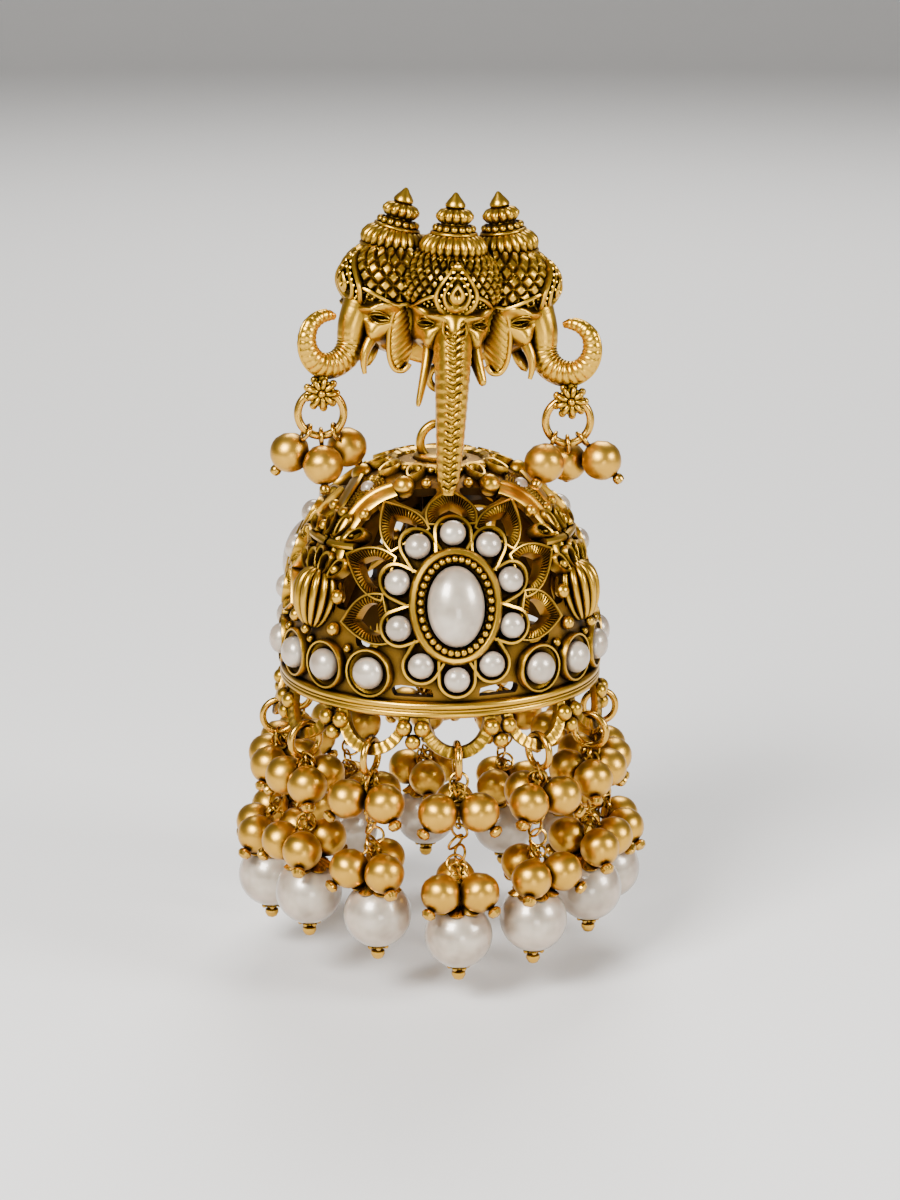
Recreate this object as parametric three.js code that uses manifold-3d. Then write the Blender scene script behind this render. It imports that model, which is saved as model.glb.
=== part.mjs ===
// A jhumka earring in antique gold: a cast stud of three elephant heads, a pierced bell-shaped
// dome hung under it, and a skirt of gold beads and imitation pearls.
// Millimetres, +Z up, +X to the wearer's left seen from the front, and the front faces -Y.
// The origin is on the ear post's axis where it leaves the stud's flat back.
import * as THREE from "three";
import { mergeVertices } from "three/addons/utils/BufferGeometryUtils.js";
import Module from "manifold-3d";

const wasm = await Module();
wasm.setup();

// Clearances
const RUNNING_GAP = 0.15;
const SEAT_GAP = 0.3;

// Ear post and the flat back of the stud
const POST_DIAMETER = 1.0;
const POST_LENGTH = 10;
const PAD_DIAMETER = 5;
const PAD_THICKNESS = 0.8;
const BACK_THICKNESS = 1.2;
const STUD_ROLL_DEG = 3;

// Heads: half sizes of the skulls, and where they sit below the post and in front of the back
const SKULL_HALF_WIDTH = 4.3;
const SKULL_HALF_DEPTH = 4.9;
const SKULL_HALF_HEIGHT = 4.8;
const CENTRE_SKULL_FRONT = 6.6;
const SIDE_SKULL_FRONT = 4.0;
const SIDE_SKULL_OUT = 5.0;
const SIDE_FACING_DEG = 60;
const SKULL_DROP = 1.3;

// Head cloths and stepped crowns
const CLOTH_HALF_HEIGHT = 3.5;
const CLOTH_RISE = 2.4;
const CROWN_RADIUS = 3.1;
const CROWN_HEIGHT = 6.4;
const CROWN_BASE_RISE = 4.6;
const SIDE_CROWN_LEAN_DEG = 11;

// Trunks and tusks
const TRUNK_ROOT_RADIUS = 2.2;
const TRUNK_TIP_RADIUS = 0.75;
const TRUNK_LENGTH = 17;
const TRUNK_FRONT = 13.3;
const CURL_RADIUS = 2.6;
const CURL_REACH = 7.4;
const CURL_DROP = 3.3;
const CURL_ROOT_RADIUS = 1.6;
const CURL_TIP_RADIUS = 0.5;
const TUSK_RADIUS = 0.5;
const LONG_TUSK = 4.6;
const SHORT_TUSK = 3.2;

// Ears of the centre head
const EAR_HEIGHT = 6.2;
const EAR_WIDTH = 2.6;
const EAR_THICKNESS = 0.8;

// Lug, link and eye: the three loops that the dome hangs by
const LUG_DROP = 6.6;
const LUG_RADIUS = 1.15;
const LUG_WIRE = 0.8;
const LINK_WIRE = 0.7;
const LINK_LENGTH = 5.175; // between the middles of its two end wires
const LINK_HALF_WIDTH = 1.05;
const EYE_RADIUS = 1.95;
const EYE_WIRE = 0.9;

// Dome
const DOME_RADIUS = 15.4;
const DOME_HEIGHT = 21.4;
const DOME_FULLNESS = 2.5;
const DOME_WALL = 1.0;
const DOME_SIDES = 24;
const PANELS = 3;
const RIM_HEIGHT = 1.5;
const RIM_PROUD = 0.7;
const COLLAR_RADIUS = 2.6;
const COLLAR_HEIGHT = 0.9;

// Flower panel, laid out on the dome's surface round the middle of the oval pearl
const FLOWER_RISE = 10;
const OVAL_HALF_WIDTH = 2.7;
const OVAL_HALF_HEIGHT = 3.85;
const OVAL_DEPTH = 2.1;
const BEZEL_WALL = 1.15;
const BEZEL_PROUD = 1.35;
const PETALS = 10;
const PETAL_RING_HALF_WIDTH = 5.6;
const PETAL_RING_HALF_HEIGHT = 6.9;
const PETAL_CUP_RADIUS = 1.85;
const PETAL_PROUD = 0.75;
const LEAF_REACH = 11.5;
const LEAF_WIDTH = 5.2;
const LEAF_FRAME = 0.7;
const ARCH_RADIUS = 13.2;
const ARCH_WIDTH = 1.6;
const ARCH_PROUD = 0.8;

// Pods between the panels, the row of round cups and the cups at the shoulder
const POD_RISE = 9.5;
const POD_HALF_WIDTH = 2.6;
const POD_HALF_HEIGHT = 3.0;
const POD_PROUD = 2.2;
const CUP_RISE = 2.9;
const CUP_RADIUS = 2.45;
const CUP_PROUD = 0.9;
const CUP_PITCH_DEG = 19;

// Skirt of scallops under the rim
const SCALLOPS = 12;
const SCALLOP_HALF_WIDTH = 2.7;
const SCALLOP_DEPTH = 3.3;
const SCALLOP_BAND = 1.0;
const SKIRT_THICKNESS = 0.8;
const SKIRT_FLARE = 1.1;
const KNOT_DROP = 3.2;

// Strands: a jump ring on each scallop, and a chain with two tiers of beads and a pearl
const JUMP_RADIUS = 1.65;
const JUMP_WIRE = 0.7;
const CHAIN_RADIUS = 0.5;
const HUB_RADIUS = 1.65;
const BEAD_RADIUS = 1.95;
const UPPER_TIER_DROP = 9.7;
const UPPER_TIER_SPREAD = 2.3;
const UPPER_TIER_TURN_DEG = 60;
const LOWER_TIER_DROP = 17.5;
const LOWER_TIER_SPREAD = 2.65;
const LOWER_TIER_TURN_DEG = 45;
const PEARL_RADIUS = 3.3;
const PEARL_DROP = 22.4;

// Charms: a rosette under each curled trunk, a ring and three bead drops
const ROSETTE_RADIUS = 1.7;
const ROSETTE_DEPTH = 1.0;
const ROSETTE_DROP = 8.5;
const CHARM_RING_RADIUS = 2.2;
const CHARM_RING_WIRE = 0.8;
const BAIL_RADIUS = 0.85;
const BAIL_WIRE = 0.5;
const DROP_LOOP_RADIUS = 0.8;
const DROP_WIRE = 0.4;

// Facets
const ROUND_SIDES = 10;
const PEARL_STACKS = 5;
const WIRE_SIDES = 5;

// How far each strand's pearl hangs to the side, out and up from straight below its scallop.
const STRANDS = [
  { side: 0.1, out: 0.3, lift: 0 },
  { side: -0.8, out: 0.4, lift: 0.7 },
  { side: -1.2, out: 0.5, lift: 1.6 },
  { side: -0.6, out: 1.0, lift: 0.4 },
  { side: 0.0, out: 0.6, lift: 0.9 },
  { side: 0.2, out: 0.8, lift: 0 },
  { side: -0.1, out: 0.5, lift: 0.7 },
  { side: 0.0, out: 0.9, lift: 0 },
  { side: 0.3, out: 0.6, lift: 0.6 },
  { side: 0.6, out: 1.1, lift: 1.0 },
  { side: 1.2, out: 0.6, lift: 2.4 },
  { side: 0.8, out: 0.4, lift: 1.8 },
];

// Where each charm's drops hang on its ring and how they lean, in degrees
const CHARM_DROPS = {
  left: [
    { at: -38, side: -36, front: -18 },
    { at: 0, side: 2, front: 26 },
    { at: 38, side: 32, front: -36 },
  ],
  right: [
    { at: -38, side: -30, front: 36 },
    { at: 38, side: 42, front: 14 },
    { at: 0, side: 6, front: -40 },
  ],
};

const GOLD = new THREE.MeshStandardMaterial({ color: 0xb98a35, metalness: 1, roughness: 0.38 });
const PEARL = new THREE.MeshStandardMaterial({ color: 0xdcd6cc, metalness: 0, roughness: 0.3 });

const radians = THREE.MathUtils.degToRad;

// Solids

// Turns a closed three.js geometry into a solid whose faces point out.
function solid(geometry) {
  const bare = geometry.clone();
  bare.deleteAttribute("normal");
  bare.deleteAttribute("uv");
  const merged = mergeVertices(bare, 1e-4);
  const points = merged.getAttribute("position").array;
  const corners = Uint32Array.from(merged.index.array);
  const kept = [];
  let volume = 0;
  const a = new THREE.Vector3();
  const b = new THREE.Vector3();
  const c = new THREE.Vector3();
  for (let i = 0; i < corners.length; i += 3) {
    const [p, q, r] = corners.slice(i, i + 3);
    if (p === q || q === r || r === p) continue;
    kept.push(p, q, r);
    a.fromArray(points, 3 * p);
    b.fromArray(points, 3 * q);
    c.fromArray(points, 3 * r);
    volume += a.dot(b.cross(c));
  }
  if (volume < 0) {
    for (let i = 0; i < kept.length; i += 3) [kept[i + 1], kept[i + 2]] = [kept[i + 2], kept[i + 1]];
  }
  return new wasm.Manifold(
    new wasm.Mesh({ numProp: 3, vertProperties: points, triVerts: Uint32Array.from(kept) }),
  );
}

function fuse(solids) {
  return solids.reduce((whole, piece) => whole.add(piece));
}

function namedMesh(name, body, material) {
  const made = body.getMesh();
  const points = new Float32Array(made.numVert * 3);
  for (let i = 0; i < made.numVert; i++) {
    points.set(made.vertProperties.subarray(i * made.numProp, i * made.numProp + 3), i * 3);
  }
  const geometry = new THREE.BufferGeometry();
  geometry.setAttribute("position", new THREE.BufferAttribute(points, 3));
  geometry.setIndex(new THREE.BufferAttribute(Uint32Array.from(made.triVerts), 1));
  geometry.computeVertexNormals();
  const mesh = new THREE.Mesh(geometry, material);
  mesh.name = name;
  return mesh;
}

// A ring of wire round +Z, about its own middle.
function wireRing(radius, wire, segments = ROUND_SIDES) {
  return new THREE.TorusGeometry(radius, wire / 2, WIRE_SIDES, segments);
}

// A gold bead as a dodecahedron that fills the box of the round bead.
function bead(radius) {
  const golden = (1 + Math.sqrt(5)) / 2;
  return new THREE.DodecahedronGeometry((radius * Math.sqrt(3)) / golden);
}

function pearl(radius) {
  return new THREE.SphereGeometry(radius, ROUND_SIDES, PEARL_STACKS).rotateX(Math.PI / 2);
}

// A profile of [radius, height] pairs turned round +Z, closed on the axis at both ends.
function turned(profile, sides) {
  const points = [[0, profile[0][1]], ...profile, [0, profile.at(-1)[1]]];
  const lathe = new THREE.LatheGeometry(points.map(([r, z]) => new THREE.Vector2(r, z)), sides);
  return lathe.rotateX(Math.PI / 2);
}

// A round bar along a curve, whose radius goes through the given list from end to end.
function taperedBar(curve, radii, steps, sides) {
  const frames = curve.computeFrenetFrames(steps, false);
  const rings = [];
  for (let i = 0; i <= steps; i++) {
    const centre = curve.getPointAt(i / steps);
    const place = (i / steps) * (radii.length - 1);
    const before = Math.min(Math.floor(place), radii.length - 2);
    const radius = THREE.MathUtils.lerp(radii[before], radii[before + 1], place - before);
    const ring = [];
    for (let k = 0; k < sides; k++) {
      const turn = (2 * Math.PI * k) / sides;
      ring.push(
        centre
          .clone()
          .addScaledVector(frames.normals[i], radius * Math.cos(turn))
          .addScaledVector(frames.binormals[i], radius * Math.sin(turn)),
      );
    }
    rings.push(ring);
  }
  return lofted(rings);
}

// A closed body through rings of equally many points, with a flat fan over each end.
function lofted(rings) {
  const count = rings[0].length;
  const points = rings.flat();
  const corners = [];
  for (let i = 0; i + 1 < rings.length; i++) {
    for (let k = 0; k < count; k++) {
      const next = (k + 1) % count;
      const low = i * count;
      const high = low + count;
      corners.push(low + k, low + next, high + next, low + k, high + next, high + k);
    }
  }
  const ends = [
    { start: 0, flip: true },
    { start: (rings.length - 1) * count, flip: false },
  ];
  for (const { start, flip } of ends) {
    const middle = new THREE.Vector3();
    for (let k = 0; k < count; k++) middle.addScaledVector(points[start + k], 1 / count);
    points.push(middle);
    for (let k = 0; k < count; k++) {
      const edge = [start + k, start + ((k + 1) % count)];
      if (flip) edge.reverse();
      corners.push(edge[0], edge[1], points.length - 1);
    }
  }
  const geometry = new THREE.BufferGeometry().setFromPoints(points);
  geometry.setIndex(corners);
  return geometry;
}

// Dome surface: radius and height at a length along the curve from the rim, with the normal

function domeProfile(radius, height, fullness, steps = 400) {
  const table = [];
  let run = 0;
  for (let i = 0; i <= steps; i++) {
    const turn = (Math.PI / 2) * (i / steps);
    const r = radius * Math.cos(turn) ** (2 / fullness);
    const z = height * Math.sin(turn) ** (2 / fullness);
    const last = table.at(-1);
    if (last) run += Math.hypot(r - last.r, z - last.z);
    table.push({ r, z, run });
  }
  return table;
}

const DOME_TABLE = domeProfile(DOME_RADIUS, DOME_HEIGHT, DOME_FULLNESS);

function domePoint(length) {
  const wanted = Math.max(length, 0);
  const next = Math.max(1, DOME_TABLE.findIndex((row) => row.run >= wanted));
  const low = DOME_TABLE[next - 1];
  const high = DOME_TABLE[next];
  const share = (wanted - low.run) / (high.run - low.run);
  const along = new THREE.Vector2(high.r - low.r, high.z - low.z).normalize();
  return {
    r: THREE.MathUtils.lerp(low.r, high.r, share),
    z: THREE.MathUtils.lerp(low.z, high.z, share) + Math.min(length, 0),
    normal: new THREE.Vector2(along.y, -along.x),
  };
}

// The point of the dome that is x along the parallel and t along the curve from the rim,
// lifted by out, in the panel whose middle is at the given angle from the front.
function onDome(panel, x, t, out) {
  const at = domePoint(t);
  const angle = panel + x / at.r;
  const r = at.r + out * at.normal.x;
  return new THREE.Vector3(r * Math.sin(angle), -r * Math.cos(angle), at.z + out * at.normal.y);
}

// A plate with the given outline of [x, t] points, between two heights over the dome.
function domePlate(panel, outline, low, high) {
  const rings = [low, high].map((out) => outline.map(([x, t]) => onDome(panel, x, t, out)));
  return solid(lofted(rings));
}

// A body made round +Z, stood on the dome at a point with its axis along the normal there.
function standOnDome(geometry, panel, x, t, out) {
  const foot = onDome(panel, x, t, out);
  const normal = onDome(panel, x, t, out + 1).sub(foot);
  const side = new THREE.Vector3(Math.cos(panel + x / domePoint(t).r), 0, 0);
  side.y = Math.sin(panel + x / domePoint(t).r);
  const up = new THREE.Vector3().crossVectors(normal, side);
  const frame = new THREE.Matrix4().makeBasis(side, up, normal).setPosition(foot);
  return solid(geometry.clone().applyMatrix4(frame));
}

function panelAngle(index, pitch = PANELS) {
  return (2 * Math.PI * index) / pitch;
}

// A point at an angle from straight up, in degrees, and a distance from the oval pearl's middle.
function fromFlower(degrees, distance) {
  const turn = radians(degrees);
  return [distance * Math.sin(turn), FLOWER_RISE + distance * Math.cos(turn)];
}

// Dome parts

// The wall, its rim moulding and the collar on top, turned as one open bell.
function domeBody() {
  const whole = DOME_TABLE.at(-1).run;
  const shares = [0.22, 0.42, 0.6, 0.76, 0.87];
  const walls = [RIM_HEIGHT / 2 / whole, ...shares].map((share) => domePoint(share * whole));
  const deep = [0.28, 0.54, 0.74, 0.86].map((share) => domePoint(share * whole));
  const rim = DOME_RADIUS + RIM_PROUD;
  const top = DOME_HEIGHT + COLLAR_HEIGHT / 2;
  const inner = deep.map(({ r, z, normal }) => [
    Math.max(r - DOME_WALL * normal.x, COLLAR_RADIUS / 2),
    z - DOME_WALL * normal.y,
  ]);
  const profile = [
    ...inner.reverse(),
    [DOME_RADIUS - DOME_WALL, -RIM_HEIGHT / 2],
    [rim, -RIM_HEIGHT / 2],
    [rim, RIM_HEIGHT / 2],
    ...walls.map(({ r, z }) => [r, z]),
    [COLLAR_RADIUS, DOME_HEIGHT - COLLAR_HEIGHT / 2],
    [COLLAR_RADIUS, top],
  ];
  return solid(turned(profile, DOME_SIDES));
}

// The eye that the link passes through stands on the collar, sunk in it by half its inside.
function eye() {
  return solid(wireRing(EYE_RADIUS, EYE_WIRE).rotateX(Math.PI / 2).translate(0, 0, eyeHeight()));
}

// The eye's centre over the rim plane.
function eyeHeight() {
  return DOME_HEIGHT + COLLAR_HEIGHT / 2 + EYE_RADIUS / 2;
}

function ellipse(halfWidth, halfHeight, count, middle = FLOWER_RISE) {
  const points = [];
  for (let k = 0; k < count; k++) {
    const turn = (2 * Math.PI * k) / count;
    points.push([halfWidth * Math.sin(turn), middle + halfHeight * Math.cos(turn)]);
  }
  return points;
}

// Ten lobes, one round each small pearl, as one raised rosette.
function flowerPlate(panel) {
  const outline = [];
  for (let k = 0; k < 2 * PETALS; k++) {
    const turn = (Math.PI * k) / PETALS;
    const reach = PETAL_CUP_RADIUS * (k % 2 === 0 ? 1 : 0.5);
    outline.push([
      (PETAL_RING_HALF_WIDTH + reach) * Math.sin(turn),
      FLOWER_RISE + (PETAL_RING_HALF_HEIGHT + reach) * Math.cos(turn),
    ]);
  }
  return domePlate(panel, outline, -DOME_WALL / 2, PETAL_PROUD);
}

// The bezel of the oval pearl: an oval boss with a flat-bottomed pocket for the stone.
function bezel(panel) {
  const outline = ellipse(OVAL_HALF_WIDTH + BEZEL_WALL, OVAL_HALF_HEIGHT + BEZEL_WALL, 12);
  return domePlate(panel, outline, -DOME_WALL / 2, BEZEL_PROUD);
}

function ovalPocket(panel) {
  const hole = new THREE.CylinderGeometry(1, 1, 4, 12).rotateX(Math.PI / 2).translate(0, 0, 2);
  hole.scale(OVAL_HALF_WIDTH + RUNNING_GAP, OVAL_HALF_HEIGHT + RUNNING_GAP, 1);
  return standOnDome(hole, panel, 0, FLOWER_RISE, ovalSeat());
}

// Height of the pocket's floor over the dome.
function ovalSeat() {
  return BEZEL_PROUD - PETAL_PROUD;
}

// How far the petals reach from the middle of the flower.
function flowerReach(degrees) {
  const turn = radians(degrees);
  const across = Math.sin(turn) / PETAL_RING_HALF_WIDTH;
  const up = Math.cos(turn) / PETAL_RING_HALF_HEIGHT;
  return 1 / Math.hypot(across, up) + PETAL_CUP_RADIUS;
}

// The outline of one pointed leaf, set in by a margin from its foot beside the petals to its tip.
function leafOutline(degrees, margin) {
  const low = flowerReach(degrees) + margin;
  const tip = LEAF_REACH - 1.4 * margin;
  const wide = (low * 2 + tip) / 3;
  const half = THREE.MathUtils.radToDeg((LEAF_WIDTH / 2 - margin) / wide);
  return [
    fromFlower(degrees, low),
    fromFlower(degrees - half, wide),
    fromFlower(degrees, tip),
    fromFlower(degrees + half, wide),
  ];
}

// The leaves stand above and beside the flower, turned from straight up by these degrees.
const LEAF_TURNS = [-101, -69, -33, 0, 33, 69, 101];

// A leaf is pierced, with walls that slope in from the face of the dome to its inside.
function leafHole(panel, degrees) {
  const levels = [
    { margin: LEAF_FRAME * 1.5, out: -2 * DOME_WALL },
    { margin: -LEAF_FRAME / 2, out: DOME_WALL },
  ];
  const rings = levels.map(({ margin, out }) => {
    return leafOutline(degrees, margin).map(([x, t]) => onDome(panel, x, t, out));
  });
  return solid(lofted(rings));
}

// The open gaps between the leaves and the arch.
function gapHole(panel, degrees, width) {
  const outer = ARCH_RADIUS - ARCH_WIDTH / 2 - 0.2;
  const inner = LEAF_REACH - 1.9;
  const outline = [
    fromFlower(degrees, inner),
    fromFlower(degrees + width, outer - 0.5),
    fromFlower(degrees, outer),
    fromFlower(degrees - width, outer - 0.5),
  ];
  return domePlate(panel, outline, -2 * DOME_WALL, 2 * DOME_WALL);
}

// The arch over the flower in two raised bands, each swelling to a granule near the top.
function archBand(panel, hand) {
  const stations = [
    { turn: 15, width: 0.5 },
    { turn: 19.5, width: 1.5 },
    { turn: 24, width: 0.7 },
    { turn: 41, width: 1 },
    { turn: 57, width: 1 },
    { turn: 73, width: 1 },
  ];
  const rings = stations.map(({ turn, width }) => {
    const half = (width * ARCH_WIDTH) / 2;
    const inner = fromFlower(hand * turn, ARCH_RADIUS - half);
    const outer = fromFlower(hand * turn, ARCH_RADIUS + half);
    return [
      onDome(panel, ...inner, -DOME_WALL / 2),
      onDome(panel, ...outer, -DOME_WALL / 2),
      onDome(panel, ...outer, ARCH_PROUD),
      onDome(panel, ...inner, ARCH_PROUD),
    ];
  });
  return solid(lofted(rings));
}

// A ribbed seed pod lying on the dome, half sunk, with a spray of three leaves over it.
function pod(panel) {
  const ribs = 6;
  const rings = [-0.95, -0.4, 0.35, 0.9].map((height) => {
    const girth = Math.sqrt(1 - height * height);
    const ring = [];
    for (let k = 0; k < 2 * ribs; k++) {
      const turn = (Math.PI * k) / ribs;
      const rib = k % 2 === 0 ? 1 : 0.86;
      ring.push(
        new THREE.Vector3(
          POD_HALF_WIDTH * girth * rib * Math.cos(turn),
          POD_HALF_HEIGHT * height,
          POD_PROUD * girth * rib * Math.sin(turn),
        ),
      );
    }
    return ring;
  });
  return standOnDome(lofted(rings), panel, 0, POD_RISE, 0);
}

function podSpray(panel) {
  const foot = POD_RISE + POD_HALF_HEIGHT * 0.75;
  const tip = foot + 3.2;
  const outline = [
    [-0.9, foot],
    [-2.9, foot + 0.5],
    [-2.0, foot + 2.2],
    [-0.7, tip],
    [0.7, tip],
    [2.0, foot + 2.2],
    [2.9, foot + 0.5],
    [0.9, foot],
  ];
  return domePlate(panel, outline.reverse(), -DOME_WALL / 2, ARCH_PROUD);
}

// A round cup with the pearl that it holds.
function pearlCup(panel, x, t, radius, proud) {
  const cup = turned(
    [
      [radius, -DOME_WALL / 2],
      [radius, proud * 0.6],
      [radius * 0.45, proud * 1.6],
    ],
    8,
  );
  return standOnDome(cup, panel, x, t, 0);
}

// Skirt

// A point of the skirt at an angle and a height, with a share of its thickness outwards.
function onSkirt(angle, height, share) {
  const flare = (SKIRT_FLARE * (skirtTop() - height)) / (SCALLOP_DEPTH + SCALLOP_BAND);
  const radius = DOME_RADIUS + flare + share * SKIRT_THICKNESS;
  return new THREE.Vector3(radius * Math.sin(angle), -radius * Math.cos(angle), height);
}

// One band under the rim, whose lower edge runs round the scallops and the knots between them.
function skirtBand() {
  const lowEdge = [
    { turn: 0.12, drop: SCALLOP_DEPTH + SCALLOP_BAND },
    { turn: 0.36, drop: SCALLOP_DEPTH * 0.62 },
    { turn: 0.5, drop: KNOT_DROP },
    { turn: 0.64, drop: SCALLOP_DEPTH * 0.62 },
    { turn: 0.88, drop: SCALLOP_DEPTH + SCALLOP_BAND },
  ];
  const rings = [];
  for (let k = 0; k < SCALLOPS; k++) {
    for (const { turn, drop } of lowEdge) {
      const angle = panelAngle(k + turn, SCALLOPS);
      const low = skirtTop() - drop;
      rings.push([
        onSkirt(angle, skirtTop(), -0.5),
        onSkirt(angle, low, -0.5),
        onSkirt(angle, low, 0.5),
        onSkirt(angle, skirtTop(), 0.5),
      ]);
    }
  }
  return solid(closedLoop(rings));
}

// The opening of one scallop, that its jump ring hangs through.
function scallopHole(angle) {
  const w = SCALLOP_HALF_WIDTH;
  const outline = [
    [-w, 0],
    [-w * 0.4, -SCALLOP_DEPTH],
    [w * 0.4, -SCALLOP_DEPTH],
    [w, 0],
  ];
  const rings = [-2, 2].map((share) =>
    outline.map(([x, z]) => onSkirt(angle + x / DOME_RADIUS, skirtTop() + Math.min(z, -RIM_HEIGHT / 4), share)),
  );
  return solid(lofted(rings));
}

function skirtTop() {
  return -RIM_HEIGHT / 4;
}

function skirt() {
  const holes = STRANDS.map((strand, k) => scallopHole(panelAngle(k, SCALLOPS)));
  return holes.reduce((band, hole) => band.subtract(hole), skirtBand());
}

function dome() {
  const solids = [domeBody(), eye()];
  const holes = [];
  for (let index = 0; index < PANELS; index++) {
    const panel = panelAngle(index);
    const between = panel + Math.PI / PANELS;
    solids.push(flowerPlate(panel), bezel(panel), pod(between), podSpray(between));
    for (const hand of [-1, 1]) solids.push(archBand(panel, hand));
    for (const degrees of LEAF_TURNS) holes.push(leafHole(panel, degrees));
    for (const hand of [-1, 1]) holes.push(gapHole(panel, hand * 51, 9));
    for (const share of [-1.5, -0.5, 0.5, 1.5]) {
      const x = radians(CUP_PITCH_DEG * share) * DOME_RADIUS;
      solids.push(pearlCup(between, x, CUP_RISE, CUP_RADIUS, CUP_PROUD));
    }
    holes.push(ovalPocket(panel));
  }
  solids.push(skirt());
  return holes.reduce((whole, hole) => whole.subtract(hole), fuse(solids));
}

// The oval pearl: a flat-backed, high-domed stone standing on its pocket's floor.
function ovalPearl(panel) {
  const profile = [
    [1, 0],
    [0.88, 0.5],
    [0.5, 0.87],
    [0, 1],
  ];
  const stone = turned(profile.slice(0, -1), 12);
  stone.scale(OVAL_HALF_WIDTH, OVAL_HALF_HEIGHT, OVAL_DEPTH);
  return standOnDome(stone, panel, 0, FLOWER_RISE, ovalSeat() + SEAT_GAP);
}

// Strands

// Places a body made with +X along the rim and -Y outwards under the scallop at an angle.
function underScallop(geometry, angle) {
  const radius = DOME_RADIUS + (SKIRT_FLARE * SCALLOP_DEPTH) / (SCALLOP_DEPTH + SCALLOP_BAND);
  return geometry.translate(0, -radius, 0).rotateZ(angle);
}

// A ring through the scallop, and below it two tiers of beads round a chain that leans to the pearl.
function strand(angle, { side, out, lift }) {
  const hang = skirtTop() - SCALLOP_DEPTH + RUNNING_GAP + JUMP_WIRE / 2;
  const ring = wireRing(JUMP_RADIUS, JUMP_WIRE).rotateY(Math.PI / 2).translate(0, 0, hang - JUMP_RADIUS);
  const share = (LOWER_TIER_DROP - UPPER_TIER_DROP) / (PEARL_DROP - UPPER_TIER_DROP);
  const top = new THREE.Vector3(0, 0, hang - 2 * JUMP_RADIUS);
  const upper = new THREE.Vector3(0, 0, lift * (1 - share) - UPPER_TIER_DROP);
  const lower = new THREE.Vector3(side * share, -out * share, lift - LOWER_TIER_DROP);
  const route = new THREE.CurvePath();
  route.add(new THREE.LineCurve3(top, upper));
  route.add(new THREE.LineCurve3(upper, lower));
  const pieces = [ring, taperedBar(route, [CHAIN_RADIUS, CHAIN_RADIUS * 2.2, HUB_RADIUS], 2, WIRE_SIDES)];
  const tiers = [
    { stop: upper, spread: UPPER_TIER_SPREAD, turn: radians(UPPER_TIER_TURN_DEG) },
    { stop: lower, spread: LOWER_TIER_SPREAD, turn: radians(LOWER_TIER_TURN_DEG) },
  ];
  for (const { stop, spread, turn } of tiers) {
    for (const hand of [-1, 1]) {
      const x = stop.x + hand * spread * Math.sin(turn);
      pieces.push(bead(BEAD_RADIUS).translate(x, stop.y - spread * Math.cos(turn), stop.z));
    }
  }
  return fuse(pieces.map((piece) => solid(underScallop(piece, angle))));
}

function strandPearl(angle, { side, out, lift }) {
  return solid(underScallop(pearl(PEARL_RADIUS).translate(side, -out, lift - PEARL_DROP), angle));
}

// Stud. Its parts are placed from the post: right, forward and up.

function at(right, forward, up) {
  return [right, -forward, up];
}

function skull(right, forward, facing) {
  const ball = new THREE.SphereGeometry(1, 10, 6).rotateX(Math.PI / 2);
  ball.scale(SKULL_HALF_WIDTH, SKULL_HALF_DEPTH, SKULL_HALF_HEIGHT);
  return ball.rotateZ(facing).translate(...at(right, forward, -SKULL_DROP));
}

function headCloth(right, forward, facing) {
  const ball = new THREE.SphereGeometry(1, 10, 5).rotateX(Math.PI / 2);
  ball.scale(SKULL_HALF_WIDTH + 0.7, SKULL_HALF_DEPTH + 0.5, CLOTH_HALF_HEIGHT);
  return ball.rotateZ(facing).translate(...at(right, forward, CLOTH_RISE));
}

// The stepped crown: a fluted dome, a bead course, a bulb and a pointed finial.
function crown(right, forward, leanDegrees) {
  const steps = [
    [0.86, -0.18],
    [0.98, 0.02],
    [1.0, 0.14],
    [0.72, 0.36],
    [0.72, 0.48],
    [0.38, 0.6],
    [0.5, 0.72],
    [0.24, 0.82],
  ];
  const profile = steps.map(([r, z]) => [r * CROWN_RADIUS, z * CROWN_HEIGHT]);
  profile.push([0.05, CROWN_HEIGHT]);
  const made = turned(profile, ROUND_SIDES).rotateY(radians(leanDegrees));
  return made.translate(...at(right, forward, CROWN_BASE_RISE));
}

// The centre trunk hangs straight in front of the dome and tapers to its tip.
function centreTrunk() {
  const root = CENTRE_SKULL_FRONT + SKULL_HALF_DEPTH * 0.55;
  const curve = new THREE.CatmullRomCurve3([
    new THREE.Vector3(...at(0, root, -SKULL_DROP + 1)),
    new THREE.Vector3(...at(0, TRUNK_FRONT - 1.0, -SKULL_DROP - 2.6)),
    new THREE.Vector3(...at(0, TRUNK_FRONT - 0.3, -TRUNK_LENGTH * 0.5)),
    new THREE.Vector3(...at(0, TRUNK_FRONT, -TRUNK_LENGTH * 0.78)),
    new THREE.Vector3(...at(0, TRUNK_FRONT + 0.2, -TRUNK_LENGTH)),
  ]);
  const mid = (TRUNK_ROOT_RADIUS + TRUNK_TIP_RADIUS) / 2;
  const radii = [TRUNK_ROOT_RADIUS, TRUNK_ROOT_RADIUS * 0.9, mid * 1.1, mid * 0.9, TRUNK_TIP_RADIUS];
  return taperedBar(curve, radii, 8, 8);
}

// A point of a side head's own plane: forward along its facing, across it and up.
function sidePoint(hand, reach, across, up) {
  const turn = radians(SIDE_FACING_DEG);
  const right = SIDE_SKULL_OUT + reach * Math.sin(turn) - across * Math.cos(turn);
  const forward = SIDE_SKULL_FRONT + reach * Math.cos(turn) + across * Math.sin(turn);
  return new THREE.Vector3(...at(hand * right, forward, up));
}

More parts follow.
